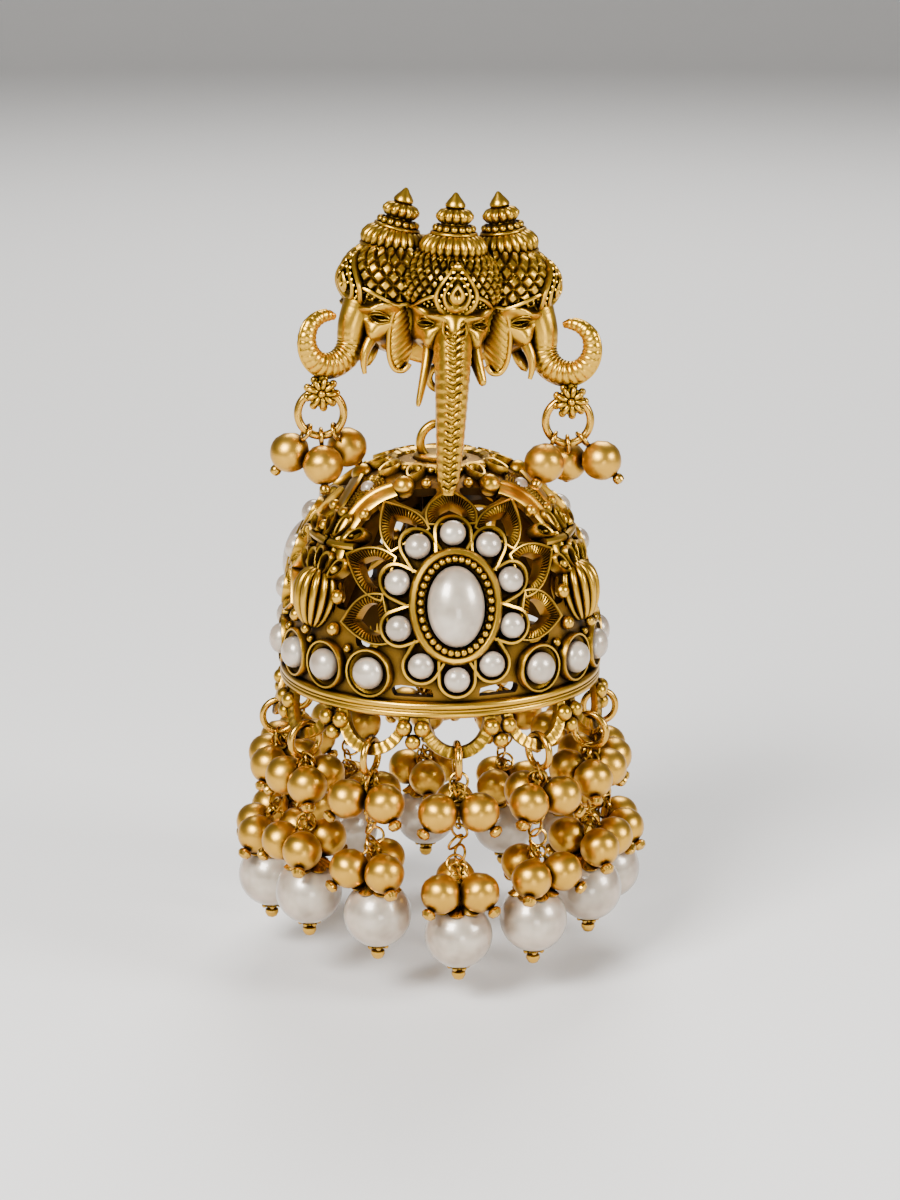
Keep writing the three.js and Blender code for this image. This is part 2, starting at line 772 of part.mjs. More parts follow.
// The side trunks run down the face and curl forwards and up.
function curledTrunk(hand) {
  const middle = -CURL_DROP;
  const points = [sidePoint(hand, CURL_REACH - CURL_RADIUS, 0, middle + CURL_RADIUS * 1.2)];
  for (let degrees = 180; degrees <= 455; degrees += 25) {
    const turn = radians(degrees);
    const reach = CURL_REACH + CURL_RADIUS * Math.cos(turn);
    points.push(sidePoint(hand, reach, 0, middle + CURL_RADIUS * Math.sin(turn)));
  }
  const curve = new THREE.CatmullRomCurve3(points);
  const mid = (CURL_ROOT_RADIUS + CURL_TIP_RADIUS) / 2;
  return taperedBar(curve, [CURL_ROOT_RADIUS, CURL_ROOT_RADIUS * 0.8, mid, mid * 0.85, CURL_TIP_RADIUS], 11, 6);
}

function tusk(from, to) {
  const bow = from.clone().lerp(to, 0.5);
  bow.y -= TUSK_RADIUS;
  const curve = new THREE.QuadraticBezierCurve3(from, bow, to);
  return taperedBar(curve, [TUSK_RADIUS * 1.2, TUSK_RADIUS, TUSK_RADIUS * 0.5], 2, 5);
}

function centreTusk(hand, length) {
  const foot = -SKULL_DROP - SKULL_HALF_HEIGHT * 0.6;
  const forward = CENTRE_SKULL_FRONT + SKULL_HALF_DEPTH * 0.6;
  const from = new THREE.Vector3(...at(hand * 2.1, forward, foot));
  const to = new THREE.Vector3(...at(hand * 2.9, forward + 1.2, foot - length));
  return tusk(from, to);
}

function sideTusk(hand, across) {
  const foot = -SKULL_DROP - SKULL_HALF_HEIGHT * 0.4;
  const reach = SKULL_HALF_DEPTH * 0.75;
  return tusk(
    sidePoint(hand, reach, across, foot),
    sidePoint(hand, reach + 0.9, across * 1.15, foot - SHORT_TUSK),
  );
}

// A fan-shaped ear standing between the centre head and a side head.
function ear(hand) {
  const w = EAR_WIDTH;
  const h = EAR_HEIGHT;
  const shape = new THREE.Shape();
  shape.moveTo(0, h / 2);
  shape.lineTo(w * 0.8, h * 0.46);
  shape.lineTo(w * 1.1, h * 0.1);
  shape.lineTo(w * 0.9, -h * 0.3);
  shape.lineTo(w * 0.4, -h / 2);
  shape.lineTo(-w * 0.3, -h * 0.2);
  const plate = new THREE.ExtrudeGeometry(shape, { depth: EAR_THICKNESS, bevelEnabled: false });
  plate.rotateX(Math.PI / 2).scale(hand, 1, 1);
  const right = hand * (SKULL_HALF_WIDTH - w * 0.45);
  return plate.translate(...at(right, CENTRE_SKULL_FRONT + 0.5, -SKULL_DROP - 0.9));
}

// The flat back of the casting, which the pad lies against.
function backPlate() {
  const outline = [
    [2.2, -6.2],
    [8.2, -4.4],
    [9.4, 1],
    [8.2, 4.6],
    [4, 6],
  ];
  const shape = new THREE.Shape();
  const all = [...outline, ...outline.map(([x, z]) => [-x, z]).reverse()];
  all.forEach(([x, z], i) => (i ? shape.lineTo(x, z) : shape.moveTo(x, z)));
  const plate = new THREE.ExtrudeGeometry(shape, { depth: SIDE_SKULL_FRONT - 0.5, bevelEnabled: false });
  return plate.rotateX(Math.PI / 2);
}

function lug() {
  const loop = wireRing(LUG_RADIUS, LUG_WIRE).rotateX(Math.PI / 2);
  const stem = new THREE.BoxGeometry(LUG_WIRE, LUG_WIRE, 2).translate(0, 0, LUG_RADIUS + 0.9);
  return [loop, stem].map((piece) => piece.translate(...at(0, hangForward(), -LUG_DROP - LUG_RADIUS)));
}

// The dome hangs this far in front of the stud's back.
function hangForward() {
  return BACK_THICKNESS + 0.8;
}

// The rosette soldered under a curled trunk, with the bail behind it that the charm's ring goes through.
function rosette(hand) {
  const { x, y } = sidePoint(hand, CURL_REACH + 0.7, 0, 0);
  const cone = turned(
    [
      [ROSETTE_RADIUS * 0.8, -ROSETTE_DEPTH / 2],
      [ROSETTE_RADIUS, 0],
      [ROSETTE_RADIUS * 0.35, ROSETTE_DEPTH * 0.7],
    ],
    ROUND_SIDES,
  ).rotateX(Math.PI / 2);
  cone.translate(x, y, -ROSETTE_DROP);
  const bail = wireRing(BAIL_RADIUS, BAIL_WIRE).rotateY(Math.PI / 2);
  bail.translate(x, y + ROSETTE_DEPTH / 2 + BAIL_RADIUS, -ROSETTE_DROP);
  const neck = new THREE.BoxGeometry(0.9, 0.9, 2.4).translate(x, y, -ROSETTE_DROP + ROSETTE_RADIUS);
  return [cone, bail, neck];
}

function stud() {
  const lean = { left: SIDE_CROWN_LEAN_DEG, right: -SIDE_CROWN_LEAN_DEG };
  const side = radians(SIDE_FACING_DEG);
  const crownOut = SIDE_SKULL_OUT + 0.6;
  const pieces = [
    backPlate(),
    skull(0, CENTRE_SKULL_FRONT, 0),
    headCloth(0, CENTRE_SKULL_FRONT - 0.6, 0),
    crown(0, CENTRE_SKULL_FRONT + 0.6, 0),
    centreTrunk(),
    centreTusk(-1, LONG_TUSK),
    centreTusk(1, SHORT_TUSK),
    crown(-crownOut, SIDE_SKULL_FRONT - 0.2, lean.left),
    crown(crownOut, SIDE_SKULL_FRONT - 0.2, lean.right),
    ...lug(),
  ];
  for (const hand of [-1, 1]) {
    pieces.push(
      skull(hand * SIDE_SKULL_OUT, SIDE_SKULL_FRONT, hand * side),
      headCloth(hand * SIDE_SKULL_OUT, SIDE_SKULL_FRONT, hand * side),
      curledTrunk(hand),
      sideTusk(hand, 1.8),
      sideTusk(hand, -1.8),
      ear(hand),
      ...rosette(hand),
    );
  }
  return fuse(pieces.map(solid)).subtract(solid(behindTheBack()));
}

// What would stand out behind the flat back is cut away.
function behindTheBack() {
  return new THREE.BoxGeometry(60, 20, 60).translate(0, 10, 0);
}

function earPost() {
  const pad = new THREE.CylinderGeometry(PAD_DIAMETER / 2, PAD_DIAMETER / 2, PAD_THICKNESS, 12);
  const pin = new THREE.CylinderGeometry(POST_DIAMETER / 2, POST_DIAMETER / 2, POST_LENGTH, 8);
  pad.translate(0, PAD_THICKNESS / 2, 0);
  pin.translate(0, PAD_THICKNESS + POST_LENGTH / 2 - 0.01, 0);
  return fuse([solid(pad), solid(pin)]);
}

// The link between the lug and the eye: a long loop standing in the plane of the post.
function link() {
  const high = linkTop();
  const low = high - LINK_LENGTH;
  const half = (high - low) / 2 - LINK_HALF_WIDTH;
  const rings = [];
  const steps = 12;
  for (let i = 0; i <= steps; i++) {
    const turn = (2 * Math.PI * i) / steps;
    const up = Math.sin(turn);
    const shift = Math.abs(up) < 0.01 ? 0 : Math.sign(up) * half;
    rings.push(new THREE.Vector3(0, LINK_HALF_WIDTH * Math.cos(turn), LINK_HALF_WIDTH * up + shift));
  }
  const wire = rings.slice(0, -1).map((centre, i) => {
    const next = rings[i + 1];
    const before = rings[(i + steps - 1) % steps];
    const along = next.clone().sub(before).normalize();
    const across = new THREE.Vector3(0, along.z, -along.y);
    const ring = [];
    for (let k = 0; k < WIRE_SIDES; k++) {
      const turn = (2 * Math.PI * k) / WIRE_SIDES;
      const point = centre.clone().addScaledVector(across, (LINK_WIRE / 2) * Math.cos(turn));
      point.x += (LINK_WIRE / 2) * Math.sin(turn);
      ring.push(point);
    }
    return ring;
  });
  const loop = closedLoop(wire);
  return solid(loop.translate(0, 0, (high + low) / 2));
}

// A closed band through rings that end where they begin.
function closedLoop(rings) {
  const count = rings[0].length;
  const corners = [];
  for (let i = 0; i < rings.length; i++) {
    const low = i * count;
    const high = ((i + 1) % rings.length) * count;
    for (let k = 0; k < count; k++) {
      const next = (k + 1) % count;
      corners.push(low + k, low + next, high + next, low + k, high + next, high + k);
    }
  }
  const geometry = new THREE.BufferGeometry().setFromPoints(rings.flat());
  geometry.setIndex(corners);
  return geometry;
}

// The middle of the link's top wire, resting in the lug.
function linkTop() {
  return -LUG_DROP - 2 * LUG_RADIUS + LUG_WIRE / 2 + RUNNING_GAP + LINK_WIRE / 2;
}

// How far the rim hangs under the post, by the link and the eye that it goes through.
function domeDrop() {
  const eyeTop = linkTop() - LINK_LENGTH + LINK_WIRE / 2 + RUNNING_GAP + EYE_WIRE / 2;
  return eyeHeight() + EYE_RADIUS - eyeTop;
}

// Charms

function charmRing() {
  return solid(wireRing(CHARM_RING_RADIUS, CHARM_RING_WIRE).rotateX(Math.PI / 2));
}

// A drop whose loop goes round the charm's ring, leaning as the table says.
function charmDrop({ at: place, side, front }) {
  const loopDrop = DROP_LOOP_RADIUS - CHARM_RING_WIRE / 2 - RUNNING_GAP / 3 - DROP_WIRE / 2;
  const beadDrop = loopDrop + DROP_LOOP_RADIUS + BEAD_RADIUS;
  const pieces = [
    wireRing(DROP_LOOP_RADIUS, DROP_WIRE).rotateY(Math.PI / 2).translate(0, 0, -loopDrop),
    bead(BEAD_RADIUS).translate(0, 0, -beadDrop),
  ];
  const turn = radians(place);
  const hang = [CHARM_RING_RADIUS * Math.sin(turn), 0, -CHARM_RING_RADIUS * Math.cos(turn)];
  return fuse(
    pieces.map((piece) => solid(piece.rotateX(-radians(front)).rotateY(-radians(side)).translate(...hang))),
  );
}

// Assembly

const earring = new THREE.Group();
const roll = radians(STUD_ROLL_DEG);

const studGroup = new THREE.Group();
studGroup.rotation.y = roll;
studGroup.add(namedMesh("elephant_stud", stud(), GOLD));
studGroup.add(namedMesh("ear_post", earPost(), GOLD));
earring.add(studGroup);

// The drop hangs plumb under the rolled lug.
const hangX = -(LUG_DROP + 2 * LUG_RADIUS) * Math.sin(roll);
const dropGroup = new THREE.Group();
dropGroup.position.set(hangX, -hangForward(), -domeDrop());
dropGroup.add(namedMesh("pierced_dome", dome(), GOLD));
for (let index = 0; index < PANELS; index++) {
  dropGroup.add(namedMesh(`oval_pearl_${index + 1}`, ovalPearl(panelAngle(index)), PEARL));
}
STRANDS.forEach((row, k) => {
  const angle = panelAngle(k, SCALLOPS);
  dropGroup.add(namedMesh(`bead_strand_${k + 1}`, strand(angle, row), GOLD));
  dropGroup.add(namedMesh(`round_pearl_${k + 1}`, strandPearl(angle, row), PEARL));
});
earring.add(dropGroup);

const linkGroup = new THREE.Group();
linkGroup.position.set(hangX, -hangForward(), 0);
linkGroup.add(namedMesh("link", link(), GOLD));
earring.add(linkGroup);

for (const [name, drops] of Object.entries(CHARM_DROPS)) {
  const hand = name === "left" ? -1 : 1;
  const bail = sidePoint(hand, CURL_REACH + 0.7, 0, -ROSETTE_DROP).applyAxisAngle(new THREE.Vector3(0, 1, 0), roll);
  const charm = new THREE.Group();
  const drop = BAIL_RADIUS - BAIL_WIRE / 2 - RUNNING_GAP - CHARM_RING_WIRE / 2;
  charm.position.set(bail.x, bail.y + ROSETTE_DEPTH / 2 + BAIL_RADIUS, bail.z - drop - CHARM_RING_RADIUS);
  charm.add(namedMesh(`charm_ring_${name}`, charmRing(), GOLD));
  drops.forEach((row, k) => charm.add(namedMesh(`charm_drop_${name}_${k + 1}`, charmDrop(row), GOLD)));
  earring.add(charm);
}

export default earring;
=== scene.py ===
# A jhumka earring: a cast stud of three elephant heads, a pierced bell under it, and a fringe of
# satin gold beads and pearls. Everything is worked out in millimetres and stored in metres.
import bpy
import numpy as np
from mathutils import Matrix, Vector
from mathutils.geometry import delaunay_2d_cdt


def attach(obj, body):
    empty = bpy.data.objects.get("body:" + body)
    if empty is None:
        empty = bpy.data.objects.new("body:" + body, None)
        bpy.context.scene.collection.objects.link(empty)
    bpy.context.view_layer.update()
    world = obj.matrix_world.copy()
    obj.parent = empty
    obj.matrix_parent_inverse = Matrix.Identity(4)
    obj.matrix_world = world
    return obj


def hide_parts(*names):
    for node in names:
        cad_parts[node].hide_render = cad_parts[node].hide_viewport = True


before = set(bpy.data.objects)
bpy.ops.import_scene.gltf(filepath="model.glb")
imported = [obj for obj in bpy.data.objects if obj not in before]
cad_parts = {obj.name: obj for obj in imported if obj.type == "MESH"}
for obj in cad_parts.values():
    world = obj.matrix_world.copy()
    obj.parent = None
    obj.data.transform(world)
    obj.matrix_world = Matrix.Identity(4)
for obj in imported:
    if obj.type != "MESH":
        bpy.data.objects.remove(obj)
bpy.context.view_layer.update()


# The wall of the bell. It is cast in brass in thirds with its leaves sawn through, then domed,
# soldered, gold plated and toned dark in the hollows, so raised edges are bright and the rest is brown. That
# dark is painted from ambient occlusion, so it also paints shade wherever other parts lie close.

bell = {"radius": 15.4, "height": 21.4, "fullness": 2.5, "wall": 1.0, "axis_x": -0.466, "axis_y": -2.0, "rim_z": -37.0}
arc = np.linspace(0, np.pi / 2, 1500)
bell_r = bell["radius"] * np.cos(arc) ** (2 / bell["fullness"])
bell_z = bell["height"] * np.sin(arc) ** (2 / bell["fullness"])
bell_t = np.concatenate([[0], np.cumsum(np.hypot(np.diff(bell_r), np.diff(bell_z)))])


def on_bell(turn, x, t, out):
    """Points x round from the meridian at turn and t up the wall from the rim, lifted out along the normal."""
    x, t, out = np.broadcast_arrays(x, t, out)
    r, z = np.interp(t, bell_t, bell_r), np.interp(t, bell_t, bell_z) + np.minimum(t, 0)
    step = 0.05
    dr = np.interp(t + step, bell_t, bell_r) - np.interp(t - step, bell_t, bell_r)
    dz = np.interp(t + step, bell_t, bell_z) - np.interp(t - step, bell_t, bell_z)
    size = np.maximum(np.hypot(dr, dz), 1e-9)
    nr, nz = np.where(t > 0, dz / size, 1.0), np.where(t > 0, -dr / size, 0.0)
    angle, reach = turn + x / np.maximum(r, 1.5), r + out * nr
    return np.stack([bell["axis_x"] + reach * np.sin(angle), bell["axis_y"] - reach * np.cos(angle),
                     bell["rim_z"] + z + out * nz], axis=-1)


def skin(points, loop=False, cap=True):
    """Quads over a grid of rings, each ring closed; the rings close on each other or get a cap at both ends.
    Where the volume they hold, summed from the origin's tetrahedra, comes out negative, every face is turned."""
    rows, cols = points.shape[:2]
    i = np.arange(rows if loop else rows - 1)[:, None]
    j = np.arange(cols)[None, :]
    a, b = i * cols + j, i * cols + (j + 1) % cols
    c, d = ((i + 1) % rows) * cols + (j + 1) % cols, ((i + 1) % rows) * cols + j
    quads = np.stack([a, b, c, d], axis=-1).reshape(-1, 4)
    p = points.reshape(-1, 3) - points.reshape(-1, 3).mean(0)
    q = p[quads]
    caps = [] if loop or not cap else [np.arange(cols)[::-1], np.arange((rows - 1) * cols, rows * cols)]
    size = (np.cross(q[:, 0], q[:, 1]) * q[:, 2] + np.cross(q[:, 0], q[:, 2]) * q[:, 3]).sum()
    size += sum((np.cross(p[c[0]], p[c[1:-1]]) * p[c[2:]]).sum() for c in caps)
    step = 1 if size > 0 else -1
    return points.reshape(-1, 3), quads[:, ::step].tolist() + [c[::step].tolist() for c in caps]


def join(parts):
    """One mesh out of many: the points follow each other and each part's faces are counted on from there."""
    points, faces, start = [], [], 0
    for p, f in parts:
        points.append(p)
        faces += [[v + start for v in face] for face in f] if start else list(f)
        start += len(p)
    return np.concatenate(points), faces


def linear(code):
    """Linear colour of an sRGB hex value."""
    c = np.array([int(code[k:k + 2], 16) for k in (1, 3, 5)]) / 255
    return (*np.where(c <= 0.04045, c / 12.92, ((c + 0.055) / 1.055) ** 2.4), 1.0)


def add(material, kind, links=(), **settings):
    """Add a shader node, set its named inputs and attributes, and link (socket, input) pairs into it."""
    tree = material.node_tree
    made = tree.nodes.new("ShaderNode" + kind)
    for key, value in settings.items():
        if key in made.inputs:
            made.inputs[key].default_value = value
        elif hasattr(made, key):
            setattr(made, key, value)
        else:
            made.inputs[key.replace("_", " ")].default_value = value
    for socket, name in links:
        tree.links.new(socket, made.inputs[name])
    return made


def ramp(material, socket, stops):
    """A colour ramp fed by a socket, with (place, hex) stops."""
    made = add(material, "ValToRGB", [(socket, "Fac")])
    band = made.color_ramp
    while len(band.elements) < len(stops):
        band.elements.new(0.5)
    for element, (place, code) in zip(band.elements, stops):
        element.position, element.color = place, linear(code)
    return made.outputs["Color"]


def blank(name):
    """A new material and its shader."""
    m = bpy.data.materials.new(name)
    m.use_nodes = True
    return m, m.node_tree.nodes["Principled BSDF"]


def toned_and_shade_painted_gold(name, bright, mid, dark, roughness, reach=0.0009, grain=0.35):
    """Plated brass, toned: metal throughout, gold on what stands proud and near-black brown in hollows.
    The tone is how open a place is within reach, in metres, found by ambient occlusion that counts every
    part nearby. In the hollows of one casting it stands for the real toning; between separate parts it is
    painted shade. It is shifted up or down by broad clouds 4 mm across; the cast skin shows as a fine grain
    of the given size in mm."""
    m, shader = blank(name)
    spot = add(m, "TexCoord").outputs["Object"]
    cloud = add(m, "TexNoise", [(spot, "Vector")], Scale=250.0, Detail=3.0, Roughness=0.6).outputs["Fac"]
    fine = add(m, "TexNoise", [(spot, "Vector")], Scale=1000 / grain, Detail=2.0, Roughness=0.7).outputs["Fac"]
    # Painted shade as well as toning: ambient occlusion darkens the colour wherever any part lies close, also between
    # separate parts.
    hollow = add(m, "AmbientOcclusion", Distance=reach, samples=6).outputs["AO"]
    shift = add(m, "Math", [(cloud, 0)], operation="MULTIPLY_ADD")
    shift.inputs[1].default_value, shift.inputs[2].default_value = 0.34, -0.17
    open_share = add(m, "Math", [(hollow, 0), (shift.outputs[0], 1)], operation="ADD").outputs[0]
    toning_and_painted_shade = ramp(m, open_share, [(0.42, dark), (0.7, mid), (0.93, bright)])
    rough = add(m, "MapRange", [(open_share, "Value")], From_Min=0.42, From_Max=0.9, To_Min=0.6, To_Max=roughness)
    bump = add(m, "Bump", [(fine, "Height")], Strength=0.12, Distance=0.00006)
    for socket, key in ((toning_and_painted_shade, "Base Color"), (rough.outputs[0], "Roughness"), (bump.outputs[0], "Normal")):
        m.node_tree.links.new(socket, shader.inputs[key])
    shader.inputs["Metallic"].default_value = 1.0
    return m


def piece(name, parts, material, body, crease=38):
    """An object with its place in its mesh, shaded smooth but for edges sharper than the crease angle."""
    points, faces = join(parts)
    mesh = bpy.data.meshes.new(name)
    mesh.from_pydata((points * 0.001).tolist(), [], faces)
    mesh.materials.append(material)
    mesh.shade_smooth()
    mesh.set_sharp_from_angle(angle=np.radians(crease))
    made = bpy.data.objects.new(name, mesh)
    bpy.context.scene.collection.objects.link(made)
    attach(made, body)
    return made


# The dark in this gold's hollows and between its parts is partly real toning and partly painted shade.
cast_gold = toned_and_shade_painted_gold("cast_gold_toned_and_shade_painted", "#D8A733", "#7B5912", "#120A02", 0.28, 0.0014)

flower = {"rise": 10.0, "petals": 10, "across": 5.6, "up": 6.9}
leaf_turns = (-101, -69, -33, 0, 33, 69, 101)


def from_flower(degrees, distance):
    """Wall coordinates at a turn from straight up, and a distance, from the middle of the flower."""
    a = np.radians(degrees)
    return np.stack([distance * np.sin(a), flower["rise"] + distance * np.cos(a)], axis=-1)


def leaf_edge(degrees, inset, count=56):
    """Outline of a pointed leaf: half width swells a little from its foot, then falls as a cosine to the tip."""
    a = np.radians(degrees)
    foot = 1 / np.hypot(np.sin(a) / flower["across"], np.cos(a) / flower["up"]) + 0.8 + inset
    tip = (11.9 if abs(degrees) < 50 else 11.7) - 1.5 * inset
    s = np.linspace(0, 1, count // 2)
    half = np.maximum(2.5 - inset, 0.3) * np.cos(np.pi / 2 * s) ** 1.05 * (0.92 + 0.55 * s)
    along = foot + (tip - foot) * s
    left = np.stack([-half, along], axis=-1)
    right = np.stack([half, along], axis=-1)[::-1][1:]
    local = np.concatenate([left, right])
    x = local[:, 0] * np.cos(a) + local[:, 1] * np.sin(a)
    return np.stack([x, flower["rise"] - local[:, 0] * np.sin(a) + local[:, 1] * np.cos(a)], axis=-1)


def dense(points, step=0.4, loop=False, count=None):
    """The same path with points at even steps, or a given count of them."""
    points = np.concatenate([points, points[:1]]) if loop else points
    run = np.concatenate([[0], np.cumsum(np.linalg.norm(np.diff(points, axis=0), axis=1))])
    at = np.linspace(0, run[-1], (count or max(int(run[-1] / step), 3)) + 1)
    at = at[:-1] if loop else at
    return np.stack([np.interp(at, run, points[:, k]) for k in range(points.shape[1])], axis=-1)


def circle(count):
    """Even turns round a full circle, the first at 0 and the last one step short of it again."""
    return np.linspace(0, 2 * np.pi, count + 1)[:-1]


def kite(x, t, width, height, lean=0):
    """A four-sided opening with bowed-in sides, turned by lean degrees."""
    a = circle(24)
    pinch = 1 - 0.28 * np.abs(np.sin(2 * a))
    u, v = width / 2 * np.cos(a) * pinch, height / 2 * np.sin(a) * pinch
    c, s = np.cos(np.radians(lean)), np.sin(np.radians(lean))
    return np.stack([x + u * c + v * s, t - u * s + v * c], axis=-1)


# Openings between the leaves, by degrees and distance from the flower's middle; then one low beside
# the flower and the kites, by place on the wall.
between = (((16.5, 9.8), (10, 10.9), (5, 11.9), (5.5, 12.6), (16.5, 12.7), (27.5, 12.4), (27, 11.7), (23, 10.9)),
           ((51, 8.9), (44, 9.9), (38.5, 11.4), (38, 12.3), (51, 12.4), (63, 12.3), (63.5, 11.3), (58, 9.9)),
           ((85, 8.7), (79.5, 9.8), (74, 11.2), (75, 12.3), (85, 12.6), (95, 12.4), (96, 11.2), (90.5, 9.8)),
           ((107, 8.8), (107.5, 10.5), (113, 10.9), (118, 10.0), (119, 8.7), (112, 8.1)))
low = np.array([(2.2, 1.25), (6.1, 1.25), (6.3, 2.1), (5.4, 2.35), (3.4, 2.2), (2.3, 2.0)])
openings = [leaf_edge(d, 0.95, 40) for d in leaf_turns]
for hand in (-1, 1):
    for degrees, distance in (np.transpose(shape) for shape in between):
        openings.append(dense(from_flower(hand * degrees, distance), loop=True))
    openings.append(dense(low * (hand, 1), loop=True))
    for x, t, width, height, lean in ((12.8, 9.8, 1.0, 3.0, 0), (12.3, 14.2, 1.0, 1.3, 0), (7.0, 24.0, 1.5, 1.2, 40)):
        openings.append(kite(hand * x, t, width, height, hand * lean))
openings.append(kite(0, 23.6, 2.2, 1.1))


def inside(points, outline):
    """Which points an outline holds, by how often a line to the right of each crosses it."""
    x, y = points[:, :1], points[:, 1:]
    a, b = outline, np.roll(outline, -1, axis=0)
    crosses = (a[:, 1] > y) != (b[:, 1] > y)
    rise = np.where(b[:, 1] == a[:, 1], 1e-9, b[:, 1] - a[:, 1])
    return (crosses & (x < (b[:, 0] - a[:, 0]) * (y - a[:, 1]) / rise + a[:, 0])).sum(1) % 2 == 1


def pierced_wall():
    """A third of the wall, flattened, is meshed round its openings and folded back three times,
    then given its thickness by a copy set in and a strip along every free edge."""
    scale, crown_hole, clear = bell["radius"], 2.7, 0.35
    half, top = np.pi / 3 * scale, float(np.interp(-crown_hole, -bell_r, bell_t))
    flat = [np.stack([h[:, 0] * scale / np.interp(h[:, 1], bell_t, bell_r), h[:, 1]], axis=-1) for h in openings]
    u, t = np.meshgrid(np.linspace(-half, half, 40), np.linspace(0, top, 31))
    grid = np.stack([u.ravel(), t.ravel()], axis=-1)
    border = (np.abs(grid[:, 0]) > half - 1e-6) | (grid[:, 1] < 1e-6) | (grid[:, 1] > top - 1e-6)
    near = np.zeros(len(grid), bool)
    for outline in flat:
        gap = np.hypot(*(grid[:, None] - outline[None]).transpose(2, 0, 1)).min(1)
        near |= inside(grid, outline) | (gap < clear)
    points, kept_edges = [grid[border | ~near]], []
    start = len(points[0])
    for outline in flat:
        points.append(outline)
        n = len(outline)
        kept_edges += [(start + k, start + (k + 1) % n) for k in range(n)]
        start += n
    result = delaunay_2d_cdt([Vector(p) for p in np.concatenate(points).tolist()], kept_edges, [], 0, 1e-5)
    plane = np.array([v[:] for v in result[0]])
    faces = np.array([f for f in result[2] if len(f) == 3])
    middle = plane[faces].mean(1)
    faces = faces[~np.any([inside(middle, outline) for outline in flat], axis=0)]
    corner = plane[faces]
    flip = np.cross(corner[:, 1] - corner[:, 0], corner[:, 2] - corner[:, 0]) < 0
    faces[flip] = faces[flip][:, ::-1]
    x, t = plane[:, 0] / scale * np.interp(plane[:, 1], bell_t, bell_r), plane[:, 1]
    outer, inner = [np.concatenate([on_bell(2 * np.pi * k / 3, x, t, out) for k in range(3)])
                    for out in (0.0, -bell["wall"])]
    every = np.concatenate([faces + k * len(plane) for k in range(3)])
    _, first, back = np.unique(np.round(outer, 3), axis=0, return_index=True, return_inverse=True)
    every = back.reshape(-1)[every]
    every = every[(every[:, 0] != every[:, 1]) & (every[:, 1] != every[:, 2]) & (every[:, 0] != every[:, 2])]
    count = len(first)
    edges = np.concatenate([every[:, [0, 1]], every[:, [1, 2]], every[:, [2, 0]]])
    free = edges[~np.isin(edges[:, 0] * count + edges[:, 1], edges[:, 1] * count + edges[:, 0])]
    strips = np.stack([free[:, 1], free[:, 0], free[:, 0] + count, free[:, 1] + count], axis=-1)
    faces = every.tolist() + (every[:, ::-1] + count).tolist() + strips.tolist()
    return np.concatenate([outer[first], inner[first]]), faces, len(every)


points, faces, outside = pierced_wall()
ground = toned_and_shade_painted_gold("ground_toned_and_shade_painted", "#9C7329", "#523A12", "#100902", 0.42, 0.002)
wall = piece("dome_wall", [(points, faces)], ground, "drop")
# The inside of the wall gets colours about half as bright as the outside: painted shade inside the bell, on rougher
# unpolished metal.
wall.data.materials.append(toned_and_shade_painted_gold("unpolished_inside_with_painted_shade", "#4E3716", "#281A0A", "#0C0703", 0.62))
wall.data.polygons.foreach_set("material_index", (np.arange(len(faces)) >= outside).astype(np.int32))
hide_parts("pierced_dome")


# The pierced leaves round each flower. Each is a frame with a bright raised border, and inside it
# a slope down to the opening that the chaser cut with close strokes.

def leaf_frame(turn, degrees):
    """Rings of the leaf's outline set in step by step, each at its own height; strokes, six points to
    one, ripple the slope."""
    steps = [(-0.1, -0.35, 0), (-0.06, 0.46, 0), (0.04, 0.62, 0), (0.17, 0.62, 0), (0.25, 0.44, 0), (0.3, 0.46, 1),
             (0.66, 0.44, 1), (0.96, 0.26, 1), (1.06, -0.55, 0), (0.98, -1.08, 0), (0.5, -1.08, 0)]
    stroke = 0.12 * np.cos(np.arange(240) * np.pi / 3)
    rings = []
    for inset, out, chased in steps:
        edge = dense(leaf_edge(degrees, inset, 150), loop=True, count=240)
        rings.append(on_bell(turn, edge[:, 0], edge[:, 1], out + chased * stroke))
    return skin(np.stack(rings), loop=True)


thirds = [2 * np.pi * k / 3 for k in range(3)]
chased_gold = toned_and_shade_painted_gold("chased_gold_toned_and_shade_painted", "#DCAA38", "#8A6618", "#181003", 0.3, 0.0005)
piece("dome_leaves", [leaf_frame(turn, d) for turn in thirds for d in leaf_turns], chased_gold, "drop")


# The arches over the flowers and the chased feathers that fill the shoulder between them: cast
# strips with a raised edge, cut across with slanting strokes, ending in round granules.

def strip_on_bell(turn, path, profile, stroke=0.0, pitch=0.5, slant=0.0, loop=False):
    """A profile of (across, height) carried along a path on the wall; strokes ripple what is marked
    by a third number, and slant sets them back with the distance across."""
    tangent = np.gradient(path, axis=0) if not loop else np.roll(path, -1, 0) - np.roll(path, 1, 0)
    tangent /= np.linalg.norm(tangent, axis=1)[:, None]
    run = np.concatenate([[0], np.cumsum(np.linalg.norm(np.diff(path, axis=0), axis=1))])[:, None]
    across, height, *marks = np.transpose(profile)
    x = path[:, :1] - tangent[:, 1:] * across
    t = path[:, 1:] + tangent[:, :1] * across
    wave = stroke * sum(marks) * np.cos(2 * np.pi * (run + slant * np.abs(across)) / pitch)
    return skin(on_bell(turn, x, t, height + wave)[:, ::-1], loop=loop)


def ball(centre, radius, cols=16, rows=10):
    """A round bead as latitude rings that shrink to its poles."""
    a = np.linspace(0.06, np.pi - 0.06, rows)[:, None]
    b = circle(cols)[None]
    size = np.broadcast_to(np.asarray(radius, float), 3)
    rings = np.stack([np.sin(a) * np.cos(b), np.sin(a) * np.sin(b), -np.cos(a) + 0 * b], axis=-1) * size
    return skin(rings + np.asarray(centre, float))


